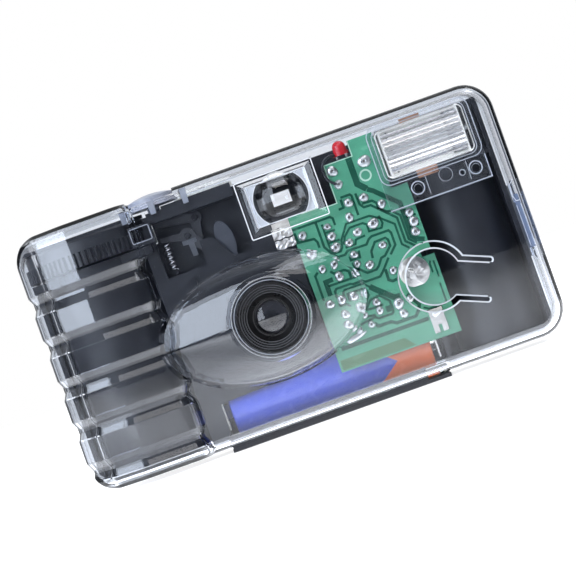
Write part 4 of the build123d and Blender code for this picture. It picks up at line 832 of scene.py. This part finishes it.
def lathe_y(work, x, z, profile, sides, wobble=0.0, chance=None):
    """A form turned about an axis along Y, from points of radius and Y."""
    phase = chance.uniform(0, 6.28) if chance else 0.0
    rings = []
    for radius, y in profile:
        ring = []
        for side in range(sides):
            angle = 2 * math.pi * side / sides
            rough = 1 + wobble * math.sin(2 * angle + phase) + 0.5 * wobble * math.sin(3 * angle - phase)
            reach = radius * rough
            ring.append(work.verts.new((
                (x + reach * math.cos(angle)) * MM, y * MM, (z + reach * math.sin(angle)) * MM,
            )))
        rings.append(ring)
    skin(work, rings)


def solder_joints(chance):
    beads, leads = bmesh.new(), bmesh.new()
    for low, high in islands("solder_joints"):
        radius = BEAD_WIDENING * (high.x - low.x) / 2
        x = (low.x + high.x) / 2 + chance.uniform(-BEAD_JITTER, BEAD_JITTER)
        z = (low.z + high.z) / 2 + chance.uniform(-BEAD_JITTER, BEAD_JITTER)
        profile = [(radius * share, BOARD_FRONT - height) for share, height in BEAD_OUTLINE]
        lathe_y(beads, x, z, profile, BEAD_SIDES, BEAD_WOBBLE, chance)
        tip_x = x + chance.uniform(-TIP_JITTER, TIP_JITTER)
        tip_z = z + chance.uniform(0.0, TIP_RISE)
        lathe_y(leads, tip_x, tip_z, LEAD_OUTLINE, LEAD_SIDES)
    return beads, leads


def lump(work, chance, base, x, z, half_x, half_z, height, turn):
    """A flat, uneven lump of solder."""
    rings = []
    for share, rise in LUMP_OUTLINE:
        ring = []
        for side in range(LUMP_SIDES):
            angle = 2 * math.pi * side / LUMP_SIDES
            rough = 1 + 0.1 * math.sin(3 * angle + 1.3) + 0.06 * math.sin(5 * angle + 0.4)
            u = half_x * share * rough * math.cos(angle)
            v = half_z * share * rough * math.sin(angle)
            px = x + u * math.cos(turn) - v * math.sin(turn)
            pz = z + u * math.sin(turn) + v * math.cos(turn)
            lift = height * rise * (1 + chance.uniform(-0.12, 0.12))
            ring.append(work.verts.new((px * MM, (base - lift) * MM, pz * MM)))
        rings.append(ring)
    skin(work, rings)


chance = random.Random(SOLDER_SEED)
beads, leads = solder_joints(chance)
bead_piece = add_mesh("solder_beads", beads, TIN, smooth=True)
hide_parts("solder_joints")
add_mesh("lead_ends", leads, LEAD_SHADE)

work = bmesh.new()
for row in LUMPS:
    lump(work, chance, *row)
add_mesh("solder_lumps", work, TIN, smooth=True)


# Contacts: the crumpled leaves of the sync contact, and the creased disc of the flash switch

CONTACT_SEED = 11
LEAF_THICKNESS = 0.14
LEAF_LOW_EDGES = (41.0, 43.4)
LEAF_LEFT, LEAF_WIDTH, LEAF_HEIGHT, LEAF_Y, LEAF_DENT = 0.4, 4.7, 2.1, -8.92, 0.16
TOP_LEAF_LEFT, TOP_LEAF_LOW, TOP_LEAF_WIDTH, TOP_LEAF_HEIGHT, TOP_LEAF_Y = 0.9, 45.3, 4.2, 1.5, -8.84
DISC_X, DISC_Z, DISC_RADIUS, DISC_CUT = 28.8, 25.8, 3.6, 22.4
DISC_RINGS, DISC_SIDES = 6, 26
DISC_BACK = BOARD_FRONT - 0.01
DISC_EDGE, DISC_DOME, DISC_DIMPLE, DISC_CREASE, DISC_DENT = 0.16, 0.34, 0.12, 0.07, 0.045


def foil(work, columns, rows, place):
    """A crumpled sheet: place gives the X, Y and Z of a grid point of its front."""
    near, far = [], []
    for row in range(rows + 1):
        front_row, back_row = [], []
        for column in range(columns + 1):
            x, y, z = place(column / columns, row / rows)
            front_row.append(work.verts.new((x * MM, y * MM, z * MM)))
            back_row.append(work.verts.new((x * MM, (y + LEAF_THICKNESS) * MM, z * MM)))
        near.append(front_row)
        far.append(back_row)
    for row in range(rows):
        for column in range(columns):
            for sheet in (near, far):
                a, b = sheet[row][column], sheet[row][column + 1]
                c, d = sheet[row + 1][column + 1], sheet[row + 1][column]
                work.faces.new((a, b, c))
                work.faces.new((a, c, d))
    border = [(0, c) for c in range(columns)] + [(r, columns) for r in range(rows)]
    border += [(rows, c) for c in range(columns, 0, -1)] + [(r, 0) for r in range(rows, 0, -1)]
    stitch(work, [near[r][c] for r, c in border], [far[r][c] for r, c in border])


def dented_leaf(low, chance):
    """A place for foil: one dented leaf of the sync contact, from its lower edge in Z."""
    def place(across, along):
        dent = chance.uniform(-LEAF_DENT, LEAF_DENT)
        wave = 0.16 * math.sin(9 * across + 4 * along)
        z = low + LEAF_HEIGHT * along + 0.12 * math.sin(14 * across)
        return LEAF_LEFT + LEAF_WIDTH * across, LEAF_Y + wave + dent, z
    return place


def top_leaf(across, along):
    """A place for foil: the uppermost leaf, which is nearly flat."""
    y = TOP_LEAF_Y + 0.05 * math.sin(11 * across)
    return TOP_LEAF_LEFT + TOP_LEAF_WIDTH * across, y, TOP_LEAF_LOW + TOP_LEAF_HEIGHT * along


def switch_disc(chance):
    """A creased dome with a flat edge at the bottom and a dimple in the middle."""
    work = bmesh.new()
    rings = []
    for ring in range(DISC_RINGS + 1):
        share = ring / DISC_RINGS
        line = []
        for side in range(DISC_SIDES if ring else 1):
            angle = 2 * math.pi * (side + 0.5 * (ring % 2)) / DISC_SIDES
            x = DISC_X + DISC_RADIUS * share * math.cos(angle)
            z = max(DISC_CUT, DISC_Z + DISC_RADIUS * share * math.sin(angle))
            dent = chance.uniform(-DISC_DENT, DISC_DENT) * (ring < DISC_RINGS)
            crease = DISC_CREASE * math.sin(2.1 * x + 0.8 * z) * (1 - share ** 4) + dent
            y = BOARD_FRONT - DISC_EDGE - DISC_DOME * (1 - share ** 2) + crease
            line.append(work.verts.new((x * MM, y * MM, z * MM)))
        rings.append(line)
    centre = rings[0][0]
    centre.co.y += DISC_DIMPLE * MM
    for side in range(DISC_SIDES):
        work.faces.new((centre, rings[1][side], rings[1][(side + 1) % DISC_SIDES]))
    for first, second in zip(rings[1:], rings[2:]):
        for a in range(DISC_SIDES):
            b = (a + 1) % DISC_SIDES
            work.faces.new((first[a], second[a], second[b]))
            work.faces.new((first[a], second[b], first[b]))
    back = [work.verts.new((vertex.co.x, DISC_BACK * MM, vertex.co.z)) for vertex in rings[-1]]
    stitch(work, rings[-1], back)
    work.faces.new(back[::-1])
    return work


chance = random.Random(CONTACT_SEED)
work = bmesh.new()
for low_edge in LEAF_LOW_EDGES:
    foil(work, columns=9, rows=4, place=dented_leaf(low_edge, chance))
foil(work, columns=6, rows=2, place=top_leaf)
sync_piece = add_mesh("sync_leaves", work, FOIL)
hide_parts("sync_contact")

disc_piece = add_mesh("switch_disc", switch_disc(chance), FOIL)
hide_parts("flash_switch_contact")


# Wires: the black wire at the ready lamp, and the coil spring that the shutter lever presses
# together

LAMP_WIRE = [
    (20.9, -6.4, 57.3), (19.8, -7.6, 57.75), (18.2, -8.7, 57.5), (16.9, -9.1, 56.4), (16.45, -9.2, 54.6),
    (16.8, -9.25, 52.9), (17.7, -9.2, 51.7), (18.7, -8.9, 51.0),
]
LAMP_WIRE_RADIUS = 0.33
CURVE_STEPS = 6
SPRING_X, SPRING_Y, SPRING_BOTTOM, SPRING_TOP = -24.0, -3.25, 45.0, 51.4
COIL_TURNS, COIL_STEPS, COIL_RADIUS, COIL_WIRE_RADIUS = 6, 12, 0.85, 0.2


def smooth_path(points):
    """Points along a Catmull-Rom curve through the given ones."""
    path = []
    padded = [Vector(point) for point in [points[0]] + points + [points[-1]]]
    for a, b, c, d in zip(padded, padded[1:], padded[2:], padded[3:]):
        for step in range(CURVE_STEPS):
            t = step / CURVE_STEPS
            bend, twist = 2 * a - 5 * b + 4 * c - d, 3 * b - 3 * c + d - a
            path.append(0.5 * (2 * b + (c - a) * t + bend * t * t + twist * t ** 3))
    path.append(padded[-1])
    return path


def wire(work, points, radius, sides=10, upright=(0, 1, 0)):
    """A round wire through the given points, which never run along upright."""
    path = smooth_path(points)
    rings = []
    for index, here in enumerate(path):
        ahead = path[min(index + 1, len(path) - 1)] - path[max(index - 1, 0)]
        ahead.normalize()
        across = ahead.cross(Vector(upright)).normalized()
        up = ahead.cross(across)
        ring = []
        for side in range(sides):
            angle = 2 * math.pi * side / sides
            outward = across * math.cos(angle) + up * math.sin(angle)
            ring.append(work.verts.new((here + radius * outward) * MM))
        rings.append(ring)
    skin(work, rings)


def coil_path():
    path = []
    for step in range(COIL_TURNS * COIL_STEPS + 1):
        turn = 2 * math.pi * step / COIL_STEPS
        rise = (SPRING_TOP - SPRING_BOTTOM) * step / (COIL_TURNS * COIL_STEPS)
        x, y = SPRING_X + COIL_RADIUS * math.cos(turn), SPRING_Y + COIL_RADIUS * math.sin(turn)
        path.append((x, y, SPRING_BOTTOM + rise))
    return path


work = bmesh.new()
wire(work, LAMP_WIRE, LAMP_WIRE_RADIUS)
add_mesh("lamp_wire", work, WIRE_BLACK, smooth=True)

work = bmesh.new()
wire(work, coil_path(), COIL_WIRE_RADIUS, sides=8, upright=(0, 0, 1))
coil_piece = add_mesh("spring_coil", work, SPRING, smooth=True)
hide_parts("shutter_spring")
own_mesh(coil_piece)


# Floor and world

FLOOR_DROP = 0.0002
FLOOR_HALF = 3.0


def floor_material():
    """White to the camera. Glossy things see a gleam that depends on where it is on the floor."""
    tree = material_tree("studio_floor")
    light = tree.node("LightPath").outputs
    paint = tree.node("BsdfDiffuse", {"Color": (0.8, 0.8, 0.8, 1)})

    mirrored = tree.math("GREATER_THAN", light["Glossy Depth"], 0.5)
    scattered = tree.math("GREATER_THAN", light["Diffuse Depth"], 0.5)
    direct = tree.math("SUBTRACT", tree.math("SUBTRACT", 1.0, mirrored), scattered)
    seen = tree.math("MAXIMUM", light["Is Camera Ray"], light["Is Transmission Ray"])
    seen = tree.math("MULTIPLY", seen, tree.math("MAXIMUM", direct, 0.0))
    distance = tree.node("VectorMath", {0: tree.position()}, operation="LENGTH").outputs["Value"]
    bright = tree.ramp(distance, 0.05, 0.15, 0.8, 1.0)
    glow = tree.node("Emission", {"Color": (1, 1, 1, 1), "Strength": tree.math("MULTIPLY", seen, bright)})

    # The gleam by its place, in metres: a pale table in front of the object, brighter at the left,
    # and a bright strip close to the object
    place = tree.node("SeparateXYZ", {0: tree.position()}).outputs
    sideways, depth = place[0], place[1]
    far_left = tree.ramp(depth, -0.5, -0.3, 1.0, 0.0)
    left_side = tree.math("MULTIPLY", tree.ramp(sideways, -0.12, -0.06, 1.1, 0.0), far_left)
    right_side = tree.ramp(sideways, 0.04, 0.11, 0.95, 0.3)
    sides = tree.math("MULTIPLY", tree.math("ADD", left_side, 1.0), right_side)
    table = tree.math("MULTIPLY", tree.ramp(depth, -2.4, -0.2, 0.15, 0.8), sides)
    table = tree.math("MULTIPLY", table, tree.ramp(depth, -0.3, -0.12, 1.0, 0.4))
    close = tree.ramp(depth, -0.1, -0.04, 0.0, 2.5)
    close = tree.math("MULTIPLY", close, tree.ramp(sideways, -0.05, -0.015, 0.3, 1.0))
    in_front = tree.ramp(depth, 0.02, 0.07, 1.0, 0.1)
    strength = tree.math("MULTIPLY", tree.math("ADD", table, close), in_front)
    gloss = tree.math("MULTIPLY", mirrored, tree.math("SUBTRACT", 1.0, scattered))
    strength = tree.math("MULTIPLY", gloss, strength)
    gleam = tree.node("Emission", {"Color": (0.93, 0.95, 1, 1), "Strength": strength})

    both = tree.node("AddShader", {0: paint.outputs[0], 1: glow.outputs[0]})
    return tree.surface(tree.node("AddShader", {0: both.outputs[0], 1: gleam.outputs[0]}))


work = bmesh.new()
bmesh.ops.create_grid(work, x_segments=1, y_segments=1, size=FLOOR_HALF)
floor_mesh = bpy.data.meshes.new("studio_floor")
work.to_mesh(floor_mesh)
work.free()
floor = bpy.data.objects.new("studio_floor", floor_mesh)
floor.location = (0, 0, -FLOOR_DROP)
bpy.context.scene.collection.objects.link(floor)
floor_mesh.materials.append(floor_material())


def studio_world():
    """White behind everything. Glossy things reflect a bright back and a dark front."""
    tree = Tree(bpy.data.worlds.new("studio"), "World")
    path = tree.node("LightPath").outputs
    bounces = tree.math("ADD", path["Glossy Depth"], path["Diffuse Depth"])
    straight = tree.math("LESS_THAN", bounces, 0.5)
    towards = tree.node("SeparateXYZ", {0: tree.node("TexCoord").outputs["Generated"]}).outputs
    aside = tree.math("ABSOLUTE", towards[0])
    central = tree.ramp(aside, 0.6, 0.85, 1.0, 0.12)
    behind = tree.math("MULTIPLY", tree.ramp(towards[1], -0.25, 0.15), central)
    shade = tree.blend(behind, (0.05, 0.06, 0.085, 1), (0.68, 0.71, 0.75, 1))
    room = tree.node("Background", {"Color": shade, "Strength": 1.0})
    white = tree.node("Background", {"Color": (1, 1, 1, 1), "Strength": 1.0})
    return tree.surface(tree.node("MixShader", {0: straight, 1: room.outputs[0], 2: white.outputs[0]}))


bpy.context.scene.world = studio_world()


# Lamps and camera

CAMERA_DISTANCE = 0.595
CAMERA_CLIP = (0.01, 20)
CAMERA_ROLL = math.radians(19.6)
PHOTO_WIDTH = 0.13505
SENSOR_WIDTH = 36


def add_object(name, data, place, rotation):
    added = bpy.data.objects.new(name, data)
    added.location = place
    added.rotation_mode = "QUATERNION"
    added.rotation_quaternion = rotation
    bpy.context.scene.collection.objects.link(added)
    return added


def softbox(name, place, aim, width, height, power, colour):
    data = bpy.data.lights.new(name, "AREA")
    data.shape = "RECTANGLE"
    data.size = width
    data.size_y = height
    data.energy = power
    data.color = colour
    return add_object(name, data, place, (Vector(aim) - Vector(place)).to_track_quat("-Z", "Y"))


softbox(
    "window_left", place=(-0.84, -0.85, 0.62), aim=(0, 0, 0.62),
    width=1.15, height=1.12, power=23.5, colour=(0.8, 0.88, 1.0),
)
softbox(
    "overhead_right", place=(0.48, -0.16, 0.9), aim=(0, 0, 0.03),
    width=0.85, height=0.3, power=2.5, colour=(0.92, 0.95, 1.0),
)
fill = softbox(
    "front_fill", place=(0.2, -0.7, 0.95), aim=(0, 0, 0.03),
    width=0.9, height=0.6, power=5.5, colour=(1.0, 0.96, 0.91),
)
fill.visible_glossy = False

camera_aim = Vector((-0.0003, -0.006, 0.0321))
camera_place = Vector((0.007, -0.006 - CAMERA_DISTANCE, 0.028))
camera_look = (camera_aim - camera_place).to_track_quat("-Z", "Y").to_matrix()
camera_turn = (camera_look @ Matrix.Rotation(-CAMERA_ROLL, 3, "Z")).to_quaternion()
camera_data = bpy.data.cameras.new("camera")
camera_data.sensor_width = SENSOR_WIDTH
camera_data.lens = SENSOR_WIDTH * CAMERA_DISTANCE / PHOTO_WIDTH
camera_data.clip_start, camera_data.clip_end = CAMERA_CLIP
bpy.context.scene.camera = add_object("camera", camera_data, camera_place, camera_turn)

bpy.context.scene.view_settings.view_transform = "Standard"
